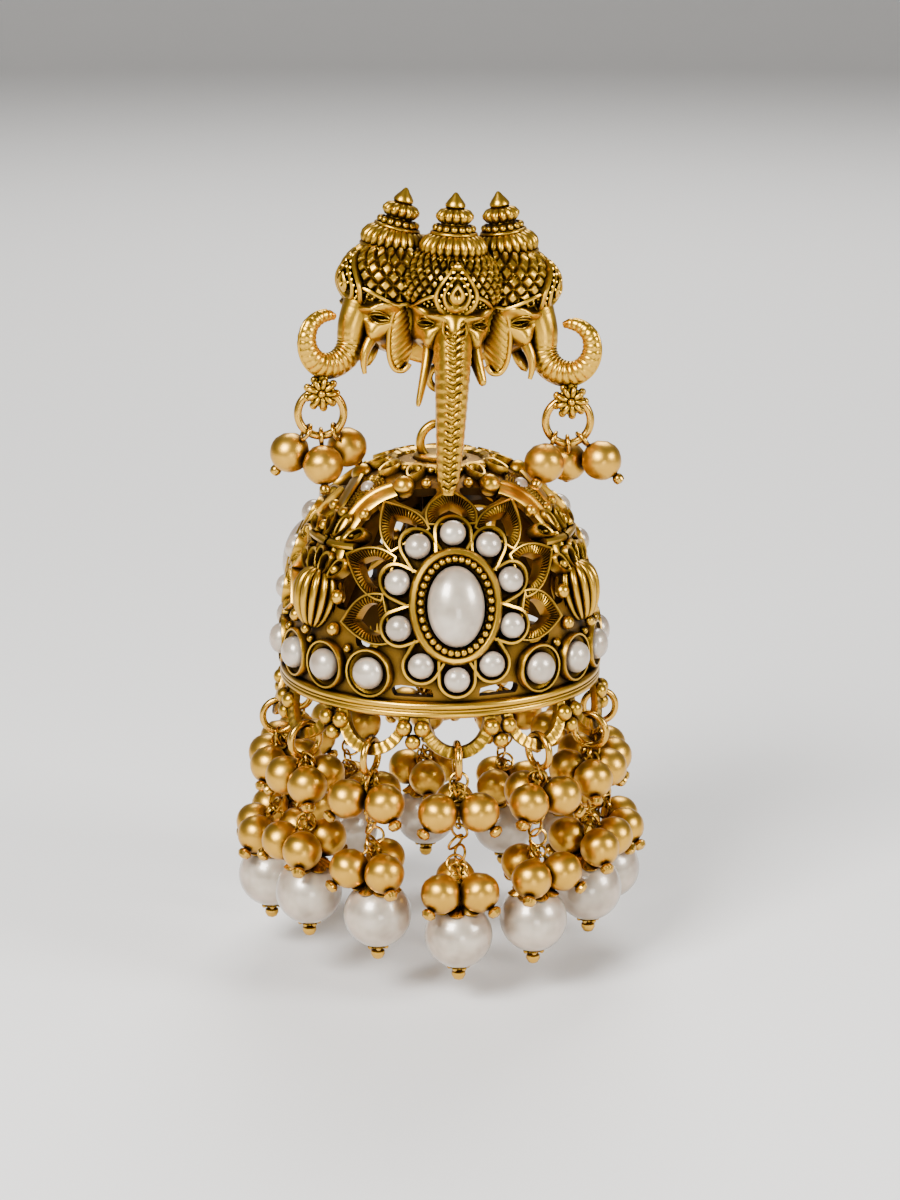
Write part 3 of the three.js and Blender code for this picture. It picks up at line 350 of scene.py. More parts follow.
arch_profile = [(-0.85, -0.4), (-0.85, 0.22), (-0.7, 0.34), (-0.2, 0.42), (0.15, 0.38), (0.24, 0.46), (0.34, 0.56),
                (0.5, 0.58), (0.62, 0.42), (0.64, -0.4)]
feather_profile = [(-0.75, -0.3, 0), (-0.72, 0.05, 0), (-0.5, 0.24, 1), (-0.2, 0.32, 1), (-0.06, 0.3, 1), (0.0, 0.2, 0),
                   (0.06, 0.3, 1), (0.2, 0.32, 1), (0.5, 0.24, 1), (0.72, 0.05, 0), (0.75, -0.3, 0)]
arch_granules = ((19.5, 13.1, 1.1, 0.45), (47, 12.1, 0.6, 0), (60, 12.1, 0.62, 0), (90, 11.9, 0.72, 0),
                 (104, 12.9, 0.66, 0), (79, 12.6, 0.62, 0), (9, 13.0, 0.5, 0))
shoulder = []
for turn in thirds:
    for hand in (-1, 1):
        arch = from_flower(hand * np.linspace(25, 74, 130), 12.95)
        shoulder.append(strip_on_bell(turn, arch, np.array(arch_profile) * (hand, 1)))
        feather = from_flower(hand * np.linspace(28, 72, 150), 14.3)
        shoulder.append(strip_on_bell(turn, feather, feather_profile, 0.13, 0.46, 1.0))
        for degrees, distance, radius, sunk in arch_granules:
            x, t = from_flower(hand * degrees, distance)
            shoulder.append(ball(on_bell(turn, x, t, radius * 0.45 - sunk), radius, 14, 9))
piece("dome_arches", shoulder, chased_gold, "drop")


# The flower. Ten round cups hold the small pearls, soldered in a ring round the oval bezel, whose
# edge is rolled with a line of tiny grains.

def stood(turn, x, t, points):
    """Local points (along the parallel, up the wall, outwards) stood on the wall at one place."""
    o = on_bell(turn, x, t, 0.0)
    side = on_bell(turn, x + 0.05, t, 0.0) - on_bell(turn, x - 0.05, t, 0.0)
    side /= np.linalg.norm(side)
    out = on_bell(turn, x, t, 1.0) - o
    up = np.cross(out, side)
    return o + points[..., :1] * side + points[..., 1:2] * up + points[..., 2:] * out


def lathe(profile, cols=28, lobes=0, depth=0.0):
    """Rings of a profile of (radius, height) round the third axis; lobes swell each ring by a share."""
    r, h = np.array(profile, float).T
    a = circle(cols)
    swell = 1 + depth * (np.abs(np.cos(lobes * a / 2)) - 0.5) if lobes else 1.0 + 0 * a
    return np.stack([r[:, None] * swell * np.cos(a), r[:, None] * swell * np.sin(a), h[:, None] + 0 * a], axis=-1)


def cup(turn, x, t, outer, hollow, lift=0.0):
    """A plain round setting: a wall that leans in, a rounded lip, and a hollow for the pearl."""
    wall = [(outer, -0.2), (outer, 0.55), (outer - 0.1, 0.76), (outer - 0.26, 0.74), (outer - 0.36, 0.42),
            (hollow + 0.1, 0.12), (hollow * 0.7, 0.02), (hollow * 0.3, -0.05)]
    return skin(stood(turn, x, t, lathe([(outer * 0.9, -0.7)] + [(r, h + lift) for r, h in wall])))


def ellipse(across, up, count):
    """Even steps of turn round the flower's middle."""
    a = circle(count)
    return np.stack([across * np.sin(a), flower["rise"] + up * np.cos(a)], axis=-1)


def petal(turn, x, t):
    """A wall round the outer half of a small pearl, its ends run straight in to the bezel: a half
    circle and two lines."""
    out = np.array([x, t - flower["rise"]])
    out /= np.linalg.norm(out)
    side = np.array([out[1], -out[0]])
    a = np.linspace(0, np.pi, 25)[:, None]
    bow = np.array([x, t]) + 1.62 * (np.cos(a) * side + np.sin(a) * out)
    path = dense(np.concatenate([bow[:1] - out * 1.9, bow, bow[-1:] - out * 1.9]), 0.22)
    wall = [(-0.24, -0.6), (-0.24, 0.6), (-0.14, 0.8), (0.08, 0.84), (0.2, 0.68), (0.24, -0.6)]
    return strip_on_bell(turn, path, wall)


bezel_profile = [(1.3, -0.4), (1.32, 0.6), (1.2, 0.95), (0.95, 1.15), (0.65, 1.14), (0.45, 0.95), (0.38, 0.7),
                 (0.0, 0.72), (-0.2, 0.7), (-0.3, 0.5), (-0.1, 0.2)]
petals = ellipse(flower["across"], flower["up"], flower["petals"])
floor_edge = ellipse(3.2, 4.3, 40) - (0, flower["rise"])
cups, grains = [], []
for turn in thirds:
    cups += [petal(turn, x, t) for x, t in petals]
    cups.append(strip_on_bell(turn, dense(ellipse(3.05, 4.2, 90), 0.35, True), bezel_profile, loop=True))
    cups.append(skin(np.stack([on_bell(turn, floor_edge[:, 0] * s, flower["rise"] + floor_edge[:, 1] * s, h)
                               for s, h in ((1, -0.6), (1, 0.25), (0.5, 0.3), (0.06, 0.3))])))
    grains += [ball(on_bell(turn, x, t, 0.95), 0.36, 9, 7) for x, t in ellipse(3.16, 4.31, 34)]
piece("flower_cups", cups, cast_gold, "drop")
piece("bezel_grains", grains, cast_gold, "drop")


# The pearls: glass beads dipped in pearl essence, warm white, with a soft sheen that turns
# faintly pink and green, and a clear coat over it.

def pearl_essence():
    """Pearl coat: a nearly white body with light let in, a thin film's tint at grazing angles, and a gloss coat."""
    m, shader = blank("pearl_essence")
    spot = add(m, "TexCoord").outputs["Object"]
    cloud = add(m, "TexNoise", [(spot, "Vector")], Scale=420.0, Detail=2.0).outputs["Fac"]
    body = ramp(m, cloud, [(0.3, "#A39582"), (0.52, "#BFB29E"), (0.72, "#D2C6B3")])
    edge = add(m, "LayerWeight", Blend=0.35).outputs["Facing"]
    film = ramp(m, edge, [(0.0, "#FFFFFF"), (0.5, "#F3E4DC"), (0.85, "#D3D9D0")])
    tint = add(m, "Mix", [(body, 6), (film, 7)], data_type="RGBA", blend_type="MULTIPLY")
    tint.inputs[0].default_value = 1.0
    m.node_tree.links.new(tint.outputs[2], shader.inputs["Base Color"])
    for key, value in (("Roughness", 0.32), ("Subsurface Weight", 0.08), ("Subsurface Scale", 0.0005),
                       ("Coat Weight", 0.9), ("Coat Roughness", 0.1), ("IOR", 1.55), ("Metallic", 0.35),
                       ("Sheen Weight", 0.1)):
        shader.inputs[key].default_value = value
    return m


def set_pearl(turn, x, t, radius, cols, rows):
    """A flattened bead whose middle stands 0.62 mm proud of the wall."""
    return skin(stood(turn, x, t, ball((0, 0, 0.62), radius, cols, rows)[0].reshape(rows, cols, 3)))


pearl = pearl_essence()
small = [set_pearl(turn, x, t, (1.25, 1.25, 1.0), 20, 12) for turn in thirds for x, t in petals]
piece("petal_pearls", small, pearl, "drop")
a = np.linspace(0.05, np.pi / 2, 14)[:, None]
b = circle(48)[None]
stone = np.stack([2.72 * np.sin(a) * np.cos(b), 3.86 * np.sin(a) * np.sin(b),
                  0.62 + 2.05 * np.cos(a) + 0 * b], axis=-1)
stone = np.concatenate([stone, stone[-1:] * (0.97, 0.97, 1) - (0, 0, 0.05)])[::-1]
for k, turn in enumerate(thirds):
    made = piece(f"oval_pearl_{k + 1}_stone", [skin(stood(turn, 0, flower["rise"], stone))], pearl, "drop")
    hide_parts(f"oval_pearl_{k + 1}")


# Between the flowers hangs a ribbed seed pod under a spray of boat-shaped leaves, with a tie
# across it, and over it at the shoulder a small pearl in an open bud.

def pod(turn):
    """A melon bud: an ellipsoid pulled to a point below, its girth notched between the ribs."""
    a = np.linspace(0.04, np.pi - 0.03, 40)[:, None]
    b = circle(168)[None]
    rib = 0.76 + 0.28 * np.abs(np.cos(7 * b)) ** 0.6
    girth = np.sin(a) ** 0.8 * (1 - 0.16 * np.cos(a)) * (1 + (rib - 1) * np.sin(a) ** 0.4)
    rings = np.stack([2.62 * girth * np.cos(b), -3.0 * np.cos(a) + 0 * b, 2.25 * girth * np.sin(b)], axis=-1)[:, ::-1]
    return skin(stood(turn, 0, 9.4, rings))


def boat(turn, x, t, length, width, degrees, height=0.75):
    """A small leaf with a raised rim and a hollow middle: rings of one outline at rising and falling heights."""
    s = circle(36)
    u = np.sin(s) * width / 2 * (1 - 0.35 * np.cos(s))
    v = -np.cos(s) * length / 2
    levels = ((1.0, -0.35), (1.02, height * 0.6), (0.92, height), (0.74, height * 0.95), (0.55, height * 0.35),
              (0.15, height * 0.25))
    u, v, h = np.stack([[u * size, v * size, 0 * u + level] for size, level in levels], axis=1)
    c, n = np.cos(np.radians(degrees)), np.sin(np.radians(degrees))
    return skin(stood(turn, x, t, np.stack([u * c + v * n, -u * n + v * c, h], axis=-1)))


between_flowers = [a + np.pi / 3 for a in thirds]
spray = ((-0.95, 12.6, 3.0, 1.5, -14, 1.1), (0.95, 12.6, 3.0, 1.5, 14, 1.1), (-2.5, 12.5, 2.9, 1.35, -42, 0.9),
         (2.5, 12.5, 2.9, 1.35, 42, 0.9), (0, 13.2, 2.4, 1.2, 0, 1.1))
upper_leaves = ((1.0, 16.6, 2.8, 1.3, 18, 0.8), (3.2, 15.9, 2.6, 1.3, 62, 1.0), (0.85, 19.1, 1.9, 0.95, 24, 0.25))
tie_profile = [(-0.36, -0.3), (-0.36, 0.7), (-0.14, 0.9), (0.14, 0.9), (0.36, 0.7), (0.36, -0.3)]
buds, bud_pearls = [], []
for turn in between_flowers:
    buds += [pod(turn), ball(on_bell(turn, 0, 6.3, 0.9), 0.5, 10, 7)]
    buds += [boat(turn, *leaf) for leaf in spray]
    for hand in (-1, 1):
        tie = np.stack([np.linspace(hand * 0.2, hand * 3.6, 20), 14.7 + 0.25 * np.linspace(0, 1, 20)], axis=-1)
        buds.append(strip_on_bell(turn, tie[::hand], tie_profile))
        for x, t, length, width, lean, height in upper_leaves:
            buds.append(boat(turn, hand * x, t, length, width, hand * lean, height))
    buds.append(cup(turn, 0, 21.3, 1.15, 0.78, -0.5))
    bud_pearls.append(ball(on_bell(turn, 0, 21.3, 0.0), 0.78, 14, 9))
    buds.append(ball(on_bell(turn, 0, 17.9, 0.35), 0.6, 12, 8))
piece("pods_and_buds", buds, cast_gold, "drop")


# The row of round cups over the rim, each with a 3 mm pearl, four to a third of the bell.

row_cups, row_pearls = [], []
for turn in between_flowers:
    for degrees in (-28.5, -9.5, 9.5, 28.5):
        x = np.radians(degrees) * bell["radius"]
        row_cups.append(cup(turn, x, 3.35, 2.42, 1.5))
        row_pearls.append(set_pearl(turn, x, 3.35, (1.55, 1.55, 1.2), 22, 13))
    row_cups += [ball(on_bell(turn, x, 5.3, 0.2), 0.45, 10, 7) for x in (-5.1, 0, 5.1)]
piece("row_cups", row_cups, cast_gold, "drop")
piece("row_pearls", row_pearls + bud_pearls, pearl, "drop")


# The rim: two drawn half-round wires with a fine one between them, and the bell's floor edge
# turned in under them. On top of the bell sits a collar in a ring of small petals, with the eye.

def round_axis(profile, cols=144, lobes=0, depth=0.0):
    """A profile of (radius, height over the rim plane) turned round the bell's own axis."""
    return lathe(profile, cols, lobes, depth) + (bell["axis_x"], bell["axis_y"], bell["rim_z"])


def by_axis(angle, reach, z):
    """Points at a turn round the bell's axis, a distance from it, and a height over the rim plane."""
    return np.stack([bell["axis_x"] + reach * np.sin(angle), bell["axis_y"] - reach * np.cos(angle),
                     bell["rim_z"] + z], axis=-1)


def arc_points(r, z, radius, first, last, count):
    """Points of a circular arc for a profile, by its middle, radius and turns in degrees."""
    a = np.radians(np.linspace(first, last, count))
    return [(r + radius * np.cos(k), z + radius * np.sin(k)) for k in a]


def torus(centre, radius, wire, first, second, cols=36, sides=12):
    """A ring of wire in the plane of two unit directions."""
    a = circle(cols)[:, None, None]
    b = circle(sides)[None, :, None]
    first, second = np.asarray(first, float), np.asarray(second, float)
    spoke = first * np.cos(a) + second * np.sin(a)
    return skin(np.asarray(centre, float) + spoke * (radius + wire / 2 * np.cos(b))
                + np.cross(first, second) * (wire / 2) * np.sin(b), loop=True)


rim = ([(14.4, -0.75), (15.6, -0.78)] + arc_points(15.68, -0.4, 0.38, -80, 70, 8)
       + arc_points(15.9, 0.0, 0.14, -60, 60, 4) + arc_points(15.66, 0.42, 0.4, -60, 90, 8)
       + [(15.3, 0.86), (14.4, 0.75)])
lid = [(2.45, 20.95), (2.62, 21.2), (2.6, 21.62), (2.3, 21.8), (0.2, 21.75)]
collar = [(2.5, 20.7), (3.6, 20.9), (3.9, 20.5), (3.5, 19.9), (2.5, 19.9)]
fittings = [skin(round_axis(rim), loop=True), skin(round_axis(lid, 48)),
            skin(round_axis(collar, 144, 12, 0.12), loop=True),
            torus(by_axis(0, 0, 22.825), 1.95, 0.9, (1, 0, 0), (0, 0, 1)),
            skin(round_axis(arc_points(4.7, 20.95, 0.62, 0, 315, 8), 216, 18, 0.05), loop=True)]
for a in np.arange(12) * np.pi / 6:
    fittings += [boat(a, 0, 24.3, 2.7, 1.7, 0), ball(on_bell(a + np.pi / 12, 0, 25.0, 0.3), 0.42, 10, 7),
                 ball(by_axis(a, 2.9, 20.95), 0.36, 8, 6)]
piece("rim_and_collar", fittings, cast_gold, "drop")


# The skirt: twelve hanging scallops of flat strip, chased along the edge, with three granules
# soldered in the notch between each pair.

def scallop(turn):
    """A strip carried along half an ellipse under the rim, standing out a little more the lower it hangs."""
    a = np.radians(np.linspace(-6, 186, 60))
    path = np.stack([-3.15 * np.cos(a), -0.45 - 3.55 * np.sin(a)], axis=-1)
    tangent = np.gradient(path, axis=0)
    tangent /= np.linalg.norm(tangent, axis=1)[:, None]
    across = np.array([-0.55, -0.5, -0.2, 0.2, 0.45, 0.55, 0.5, -0.5])
    depth = np.array([-0.3, 0.28, 0.36, 0.3, 0.42, 0.2, -0.4, -0.4])
    x = path[:, :1] + tangent[:, 1:] * across
    z = path[:, 1:] - tangent[:, :1] * across
    wave = 0.07 * np.cos(np.arange(60) * 1.7)[:, None] * np.array([0, 0, 1, 1, 0, 0, 0, 0])
    reach = bell["radius"] + 1.1 * np.maximum(-z, 0) / 4.3 + depth + wave
    return skin(by_axis(turn + x / bell["radius"], reach, z))


twelve = [2 * np.pi * k / 12 for k in range(12)]
skirt = []
for turn in twelve:
    skirt.append(scallop(turn))
    for side, z, radius in ((-0.85, -1.7, 0.82), (0.85, -1.7, 0.82), (0, -3.0, 0.78)):
        skirt.append(ball(by_axis(turn + np.pi / 12 + side / 16.0, 16.0 + 0.1 * abs(z), z), radius, 14, 9))
piece("scalloped_skirt", skirt, cast_gold, "drop")


# The stud, cast in one piece: three elephant heads back to back on a flat plate, the middle one
# facing out and the others turned 60 degrees. First the plate, with the lug soldered under it.

def in_stud(right, forward, up):
    """Points by right, forward and up from the post, rolled 3 degrees, none less than half a mm in
    front of the flat back."""
    right, forward, up = np.broadcast_arrays(right, forward, up)
    c, s = np.cos(np.radians(3)), np.sin(np.radians(3))
    return np.stack([right * c + up * s, -np.maximum(forward, 0.5), up * c - right * s], axis=-1)


def tube(path, radius, normal, sides=12, flat=1.0, loop=False):
    """A round bar along a path: each ring stands across the tangent, its first axis from a fixed normal."""
    path = np.asarray(path, float)
    tangent = np.roll(path, -1, 0) - np.roll(path, 1, 0) if loop else np.gradient(path, axis=0)
    tangent /= np.linalg.norm(tangent, axis=1)[:, None]
    first = np.asarray(normal, float) - tangent * (tangent @ np.asarray(normal, float))[:, None]
    first /= np.linalg.norm(first, axis=1)[:, None]
    second = np.cross(tangent, first)
    a = circle(sides)[None, :, None]
    r = np.broadcast_to(np.asarray(radius, float), len(path))[:, None, None]
    return skin(path[:, None] + r * (flat * np.cos(a) * first[:, None] + np.sin(a) * second[:, None]), loop=loop)


def eased(points, count):
    """A smooth path through a few points, by a cubic with the chord between neighbours as its slope."""
    p = np.asarray(points, float)
    slope = np.gradient(p, axis=0)
    at = np.linspace(0, len(p) - 1, count)
    k = np.minimum(at.astype(int), len(p) - 2)
    s = (at - k)[:, None]
    return ((2 * s ** 3 - 3 * s ** 2 + 1) * p[k] + (s ** 3 - 2 * s ** 2 + s) * slope[k]
            + (3 * s ** 2 - 2 * s ** 3) * p[k + 1] + (s ** 3 - s ** 2) * slope[k + 1])


half_plate = np.array([(0, -6.2), (2.2, -6.2), (8.2, -4.4), (9.4, 1), (8.2, 4.6), (4, 6), (0, 6)])
outline = dense(np.concatenate([half_plate, half_plate[1:-1][::-1] * (-1, 1)]), 0.5, True)
levels = ((0.97, 0.02), (1, 0.27), (1, 3.2), (0.94, 3.5))        # share of the outline, mm in front of the ear
plate = skin(np.stack([in_stud(outline[:, 0] * s, 1, outline[:, 1] * s) * (1, f, 1) for s, f in levels]))
lug = [plate, torus(in_stud(0, 2, -7.75), 1.15, 0.8, (1, 0, 0), (0, 0, 1)),
       tube(in_stud(0, 2, np.linspace(-6.75, -4.5, 4)), 0.45, (1, 0, 0))]
back = piece("stud_back_and_lug", lug, cast_gold, "stud")
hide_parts("elephant_stud")


# The post: a drawn pin 1 mm thick with a groove for the catch near its end, soldered through a
# round pad on the flat back.

post_profile = [(0.05, 10.8), (0.32, 10.75), (0.5, 10.45), (0.5, 9.2), (0.38, 9.05), (0.38, 8.75), (0.5, 8.6),
                (0.5, 1.1), (0.75, 0.82), (2.3, 0.8), (2.5, 0.65), (2.5, 0.0), (0.05, 0.0)]
post = piece("post_and_pad", [skin(lathe(post_profile, 48)[..., [0, 2, 1]])], cast_gold, "stud")
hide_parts("ear_post")


# The heads. Each was modelled full: two lobes to the forehead, a heavy brow over a half-closed
# eye, a full cheek, and hollow temples.

heads = ((0.0, 6.6, 0.0), (-5.0, 4.0, -60.0), (5.0, 4.0, 60.0))        # right, forward and turn in degrees


def on_head(head, across, ahead, up):
    """Points by across, ahead and up of one head, turned by the way it faces."""
    a = np.radians(head[2])
    return in_stud(head[0] + across * np.cos(a) + ahead * np.sin(a),
                   head[1] - across * np.sin(a) + ahead * np.cos(a), up)


# Place and height on the head, width and tallness, all in degrees, and the swell in mm: the brow's two
# halves, eye hollow, cheek, temple, forehead lobe, root of the trunk, groove beside it, and jaw.
bumps = ((28, 11, 15, 4.5, 0.75), (48, 17, 14, 5, 0.8), (39, 3, 13, 4.5, -0.95), (33, -24, 11, 15, 0.85),
         (72, -2, 12, 18, -0.6), (20, 36, 13, 15, 0.35), (0, -8, 13, 24, 0.95), (17, -20, 4.5, 15, -0.5),
         (56, -46, 16, 14, -0.7))
lids = ((4.2, 0.8, 0.2), (-3.2, 1.0, 0.12), (7.6, 1.2, 0.1), (-6.0, 2.0, 0.1))        # bow, drop, thickness


def face(head, turn, rise, out=0.0):
    """Skull: an ellipsoid swelled by bumps, each a bell curve in turn and rise with its own height in mm."""
    turn, rise = np.broadcast_arrays(np.asarray(turn, float), np.asarray(rise, float))
    lift = np.zeros(turn.shape) + out
    for place, high, wide, tall, amount in bumps:
        lift = lift + amount * np.exp(-((np.abs(turn) - place) / wide) ** 2 - ((rise - high) / tall) ** 2)
    t, r = np.radians(turn), np.radians(rise)
    width = 1 - 0.24 * np.clip(-np.sin(r), 0, 1) ** 2
    swell = 1 + lift / 4.6
    return on_head(head, 4.3 * width * np.sin(t) * np.cos(r) * swell, 4.9 * width * np.cos(t) * np.cos(r) * swell,
                   -1.3 + np.where(rise < 0, 3.7, 4.8) * np.sin(r) * swell)


skulls = []
for head in heads:
    t, r = np.meshgrid(np.linspace(-180, 180, 145)[:-1], np.linspace(-86, 70, 76))
    skulls.append(skin(face(head, t, r)))
    for hand in (-1, 1):
        skulls.append(ball(face(head, hand * 40, 2.5, -0.1), (0.44, 0.4, 0.28), 14, 9))
        for bow, drop, thick in lids:
            s = np.linspace(-1, 1, 18)
            lid = face(head, hand * (40 + 14 * s), 3.5 + bow * (1 - s ** 2) - drop - 1.5 * s, 0.06)
            skulls.append(tube(lid, thick * (1 - 0.6 * np.abs(s)), (0, -1, 0), 8))
piece("elephant_heads", skulls, cast_gold, "stud", crease=60)


# The head cloths: a diamond lattice of cut studs, a raised cord along the edge with a row of beads
# and a fine second cord under it.

def on_cloth(head, turn, up, out):
    """Cloth: an ellipsoid round the head's upper half, lifted along its normal; turn in degrees."""
    turn, up, out = np.broadcast_arrays(np.radians(turn), np.asarray(up, float), np.asarray(out, float))
    h = np.clip((up - 2.4) / 3.5, -0.97, 0.97)
    girth = np.sqrt(1 - h ** 2)
    across, ahead = 5.0 * girth * np.sin(turn), 5.4 * girth * np.cos(turn)
    n = np.stack([across / 25.0, ahead / 29.2, h / 3.5], axis=-1)
    n /= np.linalg.norm(n, axis=-1)[..., None]
    return on_head(head, across + out * n[..., 0], ahead + out * n[..., 1], up + out * n[..., 2])


def cloth_edge(turn):
    """Height of the cloth's edge: it falls from the front plate to a low point over the ear, then rises a little."""
    s = np.clip((np.abs(turn) - 20) / 42, 0, 1)
    return 1.75 - 1.3 * s * s * (3 - 2 * s) + 0.9 * np.clip((np.abs(turn) - 62) / 60, 0, 1)


def studs(turn, up, wide, tall):
    """Height of a lattice of cut diamonds: 1 on each flat top, 0 in the grooves, by the larger of two slanting saws."""
    u, v = np.radians(turn) * 5.0 / wide, up / tall
    one, two = np.abs((u + v) % 1 - 0.5) * 2, np.abs((u - v) % 1 - 0.5) * 2
    return np.clip((1 - np.maximum(one, two)) / 0.5, 0, 1)


cloths, cords = [], []
band, around = np.linspace(-180, 180, 361)[:-1], np.linspace(-175, 175, 200)
for head in heads:
    t, s = np.meshgrid(band, np.linspace(0, 1, 64))
    edge = cloth_edge(t)
    up = edge + (5.2 - edge) * s
    size = (1.0, 1.1) if head[2] == 0 else (1.35, 1.45)
    lattice = 0.46 * studs(t, up, *size) * np.clip(s * 14, 0, 1)
    hem = [on_cloth(head, band, cloth_edge(band) + z, out)
           for z, out in ((-1.15, -0.9), (-1.15, 0.0), (-1.0, 0.12), (-0.1, 0.05))]
    cloths.append(skin(np.concatenate([np.stack(hem), on_cloth(head, t, up, lattice - 0.12)])))
    for z, out, thick in ((0.02, 0.3, 0.2), (-1.0, 0.15, 0.13)):
        cords.append(tube(on_cloth(head, around, cloth_edge(around) + z, out), thick, (0, 0, 1), 8))
    for first, fall, radius in ((-126, 0.33, 0.2), (-129.2, 0.72, 0.17)):
        cords += [ball(on_cloth(head, turn, cloth_edge(turn) - fall, 0.2), radius, 8, 5)
                  for turn in np.arange(first, 127, 6.4)]
piece("head_cloths", cloths, cast_gold, "stud", crease=24)
piece("cloth_cords_and_beads", cords, cast_gold, "stud")


# The jewel plate on each brow: a pointed shield with a ridged V border, a smaller V inside it, a
# raised teardrop in the middle and granules between.

def shield(head, size, base, rise, edge=0.16):
    """Rings of a pointed shield outline on the cloth: up the outside, over a rounded border, down inside it."""
    s = circle(60)
    half = 2.05 * np.sin(s) * np.clip(1 - 0.62 * np.clip(np.cos(s), 0, 1) ** 1.4, 0, 1)
    tall = 2.35 * np.cos(s)
    rings = []
    for inset, out in ((0, base - 0.5), (0, base + rise * 0.7), (0.4 * edge, base + rise), (edge, base + rise),
                       (1.4 * edge, base + rise * 0.6), (1.7 * edge, base)):
        k = size * (1 - inset)
        up = 2.25 + (tall - 0.4) * k * np.where(tall > 0, 1.12, 0.95)
        rings.append(on_cloth(head, np.degrees(half * k / 5.2), up, out))
    return skin(np.stack(rings))


plates = []
for head in heads:
    plates += [shield(head, 1.0, 0.4, 0.38), shield(head, 0.62, 0.5, 0.36, 0.2), shield(head, 0.3, 0.62, 0.42, 0.5)]
    for hand in (-1, 1):
        for k in range(7):
            plates.append(ball(on_cloth(head, hand * (2 + 2.45 * k), 4.1 - 0.42 * k, 0.66), 0.19, 8, 5))
        for k in range(5):
            plates.append(ball(on_cloth(head, hand * (14.5 - 3.3 * k), 1.15 - 0.18 * k, 0.62), 0.17, 8, 5))
        for z, degrees in ((3.25, 3), (2.75, 6), (2.2, 8)):
            plates.append(ball(on_cloth(head, hand * degrees, z, 0.8), 0.15, 8, 5))
piece("brow_plates", plates, cast_gold, "stud")


# The crowns, in tiers: a band, a fluted drum, a second band, a ring of beads, a ribbed bulb and a
# pointed tip, the outer two leaning 11 degrees in.

tiers = (([(2.9, -1.0), (2.95, 0.5), (2.1, 2.4), (1.6, 3.1), (0.9, 3.5), (0.7, 5.0), (0.1, 5.2)], 40),
         ([(2.75, 0.42), (3.02, 0.62), (3.14, 1.05), (3.08, 1.5), (2.72, 2.05), (2.2, 2.4)], 240, 24, 0.1),
         ([(0.9, 3.35), (1.35, 3.5), (1.66, 3.95), (1.66, 4.25), (1.35, 4.68), (0.7, 4.9)], 120, 12, 0.2),
         ([(0.8, 4.8), (0.98, 5.05), (0.96, 5.25), (0.72, 5.6), (0.42, 5.95), (0.26, 6.2), (0.1, 6.35)], 24))
bands = ((0.3, 3.0, 0.42, 64, 10), (2.5, 2.1, 0.36, 48, 10), (3.38, 1.15, 0.3, 36, 8))


def crown(right, forward, lean):
    """Lathed tiers, some with lobes, leaned about their foot and set on top of a head."""
    parts = [skin(lathe(*tier)) for tier in tiers]
    for z, radius, wire, cols, sides in bands:
        parts.append(torus((0, 0, z), radius, wire, (1, 0, 0), (0, 1, 0), cols, sides))
    for a in np.arange(15) * 2 * np.pi / 15:
        parts.append(ball((1.75 * np.cos(a), 1.75 * np.sin(a), 2.95), 0.37, 10, 7))
    c, s = np.cos(np.radians(lean)), np.sin(np.radians(lean))
    return [(in_stud(right + p[:, 0] * c + p[:, 2] * s, forward - p[:, 1], 4.6 + p[:, 2] * c - p[:, 0] * s), f)
            for p, f in parts]


piece("crowns", crown(0, 7.2, 0) + crown(-5.6, 3.8, 11) + crown(5.6, 3.8, -11), cast_gold, "stud")


# The middle trunk: a tapering bar, wrinkled across, with a line of paired leaves and grains down
# its front and two open teardrops where it leaves the brow.

def seed(centre, along, out, size):
    """A ball stretched along one direction, by its three half sizes along, across and outwards."""
    along, out = np.asarray(along, float), np.asarray(out, float)
    along = along / np.linalg.norm(along)
    out = out - along * (out @ along)
    out = out / np.linalg.norm(out)
    p, f = ball((0, 0, 0), size, 10, 7)
    return np.asarray(centre) + p[:, :1] * along + p[:, 1:2] * np.cross(out, along) + p[:, 2:] * out, f


spine = eased([(0, 8.6, 0.4), (0, 10.3, -2.0), (0, 11.9, -5.0), (0, 12.7, -9.0), (0, 13.2, -13.2),
               (0, 13.5, -16.9)], 190)
run = np.linspace(0, 1, 190)
girth = np.interp(run, (0, 0.14, 0.28, 0.5, 0.75, 0.93, 1), (1.5, 1.72, 2.0, 1.75, 1.45, 1.1, 0.62))
wrinkle = 1 + 0.014 * np.cos(run * 150) * np.interp(run, (0.15, 0.4), (0, 1))
trunk = [tube(in_stud(*spine.T), girth * wrinkle, (1, 0, 0), 32, 0.92)]
for share in np.linspace(0.19, 0.97, 21):
    x, forward, up = [np.interp(share, run, spine[:, k]) for k in range(3)]
    reach = np.interp(share, run, girth)
    rise = reach * np.interp(share, (0, 0.4, 1), (0.7, 0.15, 0.02)) * 0.6
    size = 0.7 + 0.3 * (1 - share)
    trunk.append(ball(in_stud(x, forward + reach * 0.98, up + rise), 0.24 * size, 8, 6))
    for hand in (-1, 1):
        place = in_stud(x + hand * 0.46 * size, forward + reach * 0.93, up + (0.25 + 0.16 * hand) * size + rise)
        trunk.append(seed(place, (hand * 0.85, 0.1, 0.65), (hand * 0.25, -1, 0.2),
                          (0.7 * size, 0.22 * size + 0.04, 0.32)))
for hand in (-1, 1):
    s = circle(32)
    teardrop = hand * (0.64 + 0.42 * np.sin(s) * (1 - 0.5 * np.cos(s)))
    loop = in_stud(teardrop, 11.75 - 0.85 * np.cos(s), -0.95 + 1.05 * np.cos(s))
    trunk.append(tube(loop, 0.15, (0, -1, 0), 8, loop=True))
trunk += [ball(in_stud(0, f, z), 0.24, 10, 7) for f, z in ((11.1, -0.1), (11.75, -0.95), (12.5, -2.0))]
piece("middle_trunk", trunk, cast_gold, "stud")


# The side trunks curl forwards and up in an open ring, cut across with close rounded folds and
# with a smooth ridge left along the outside.

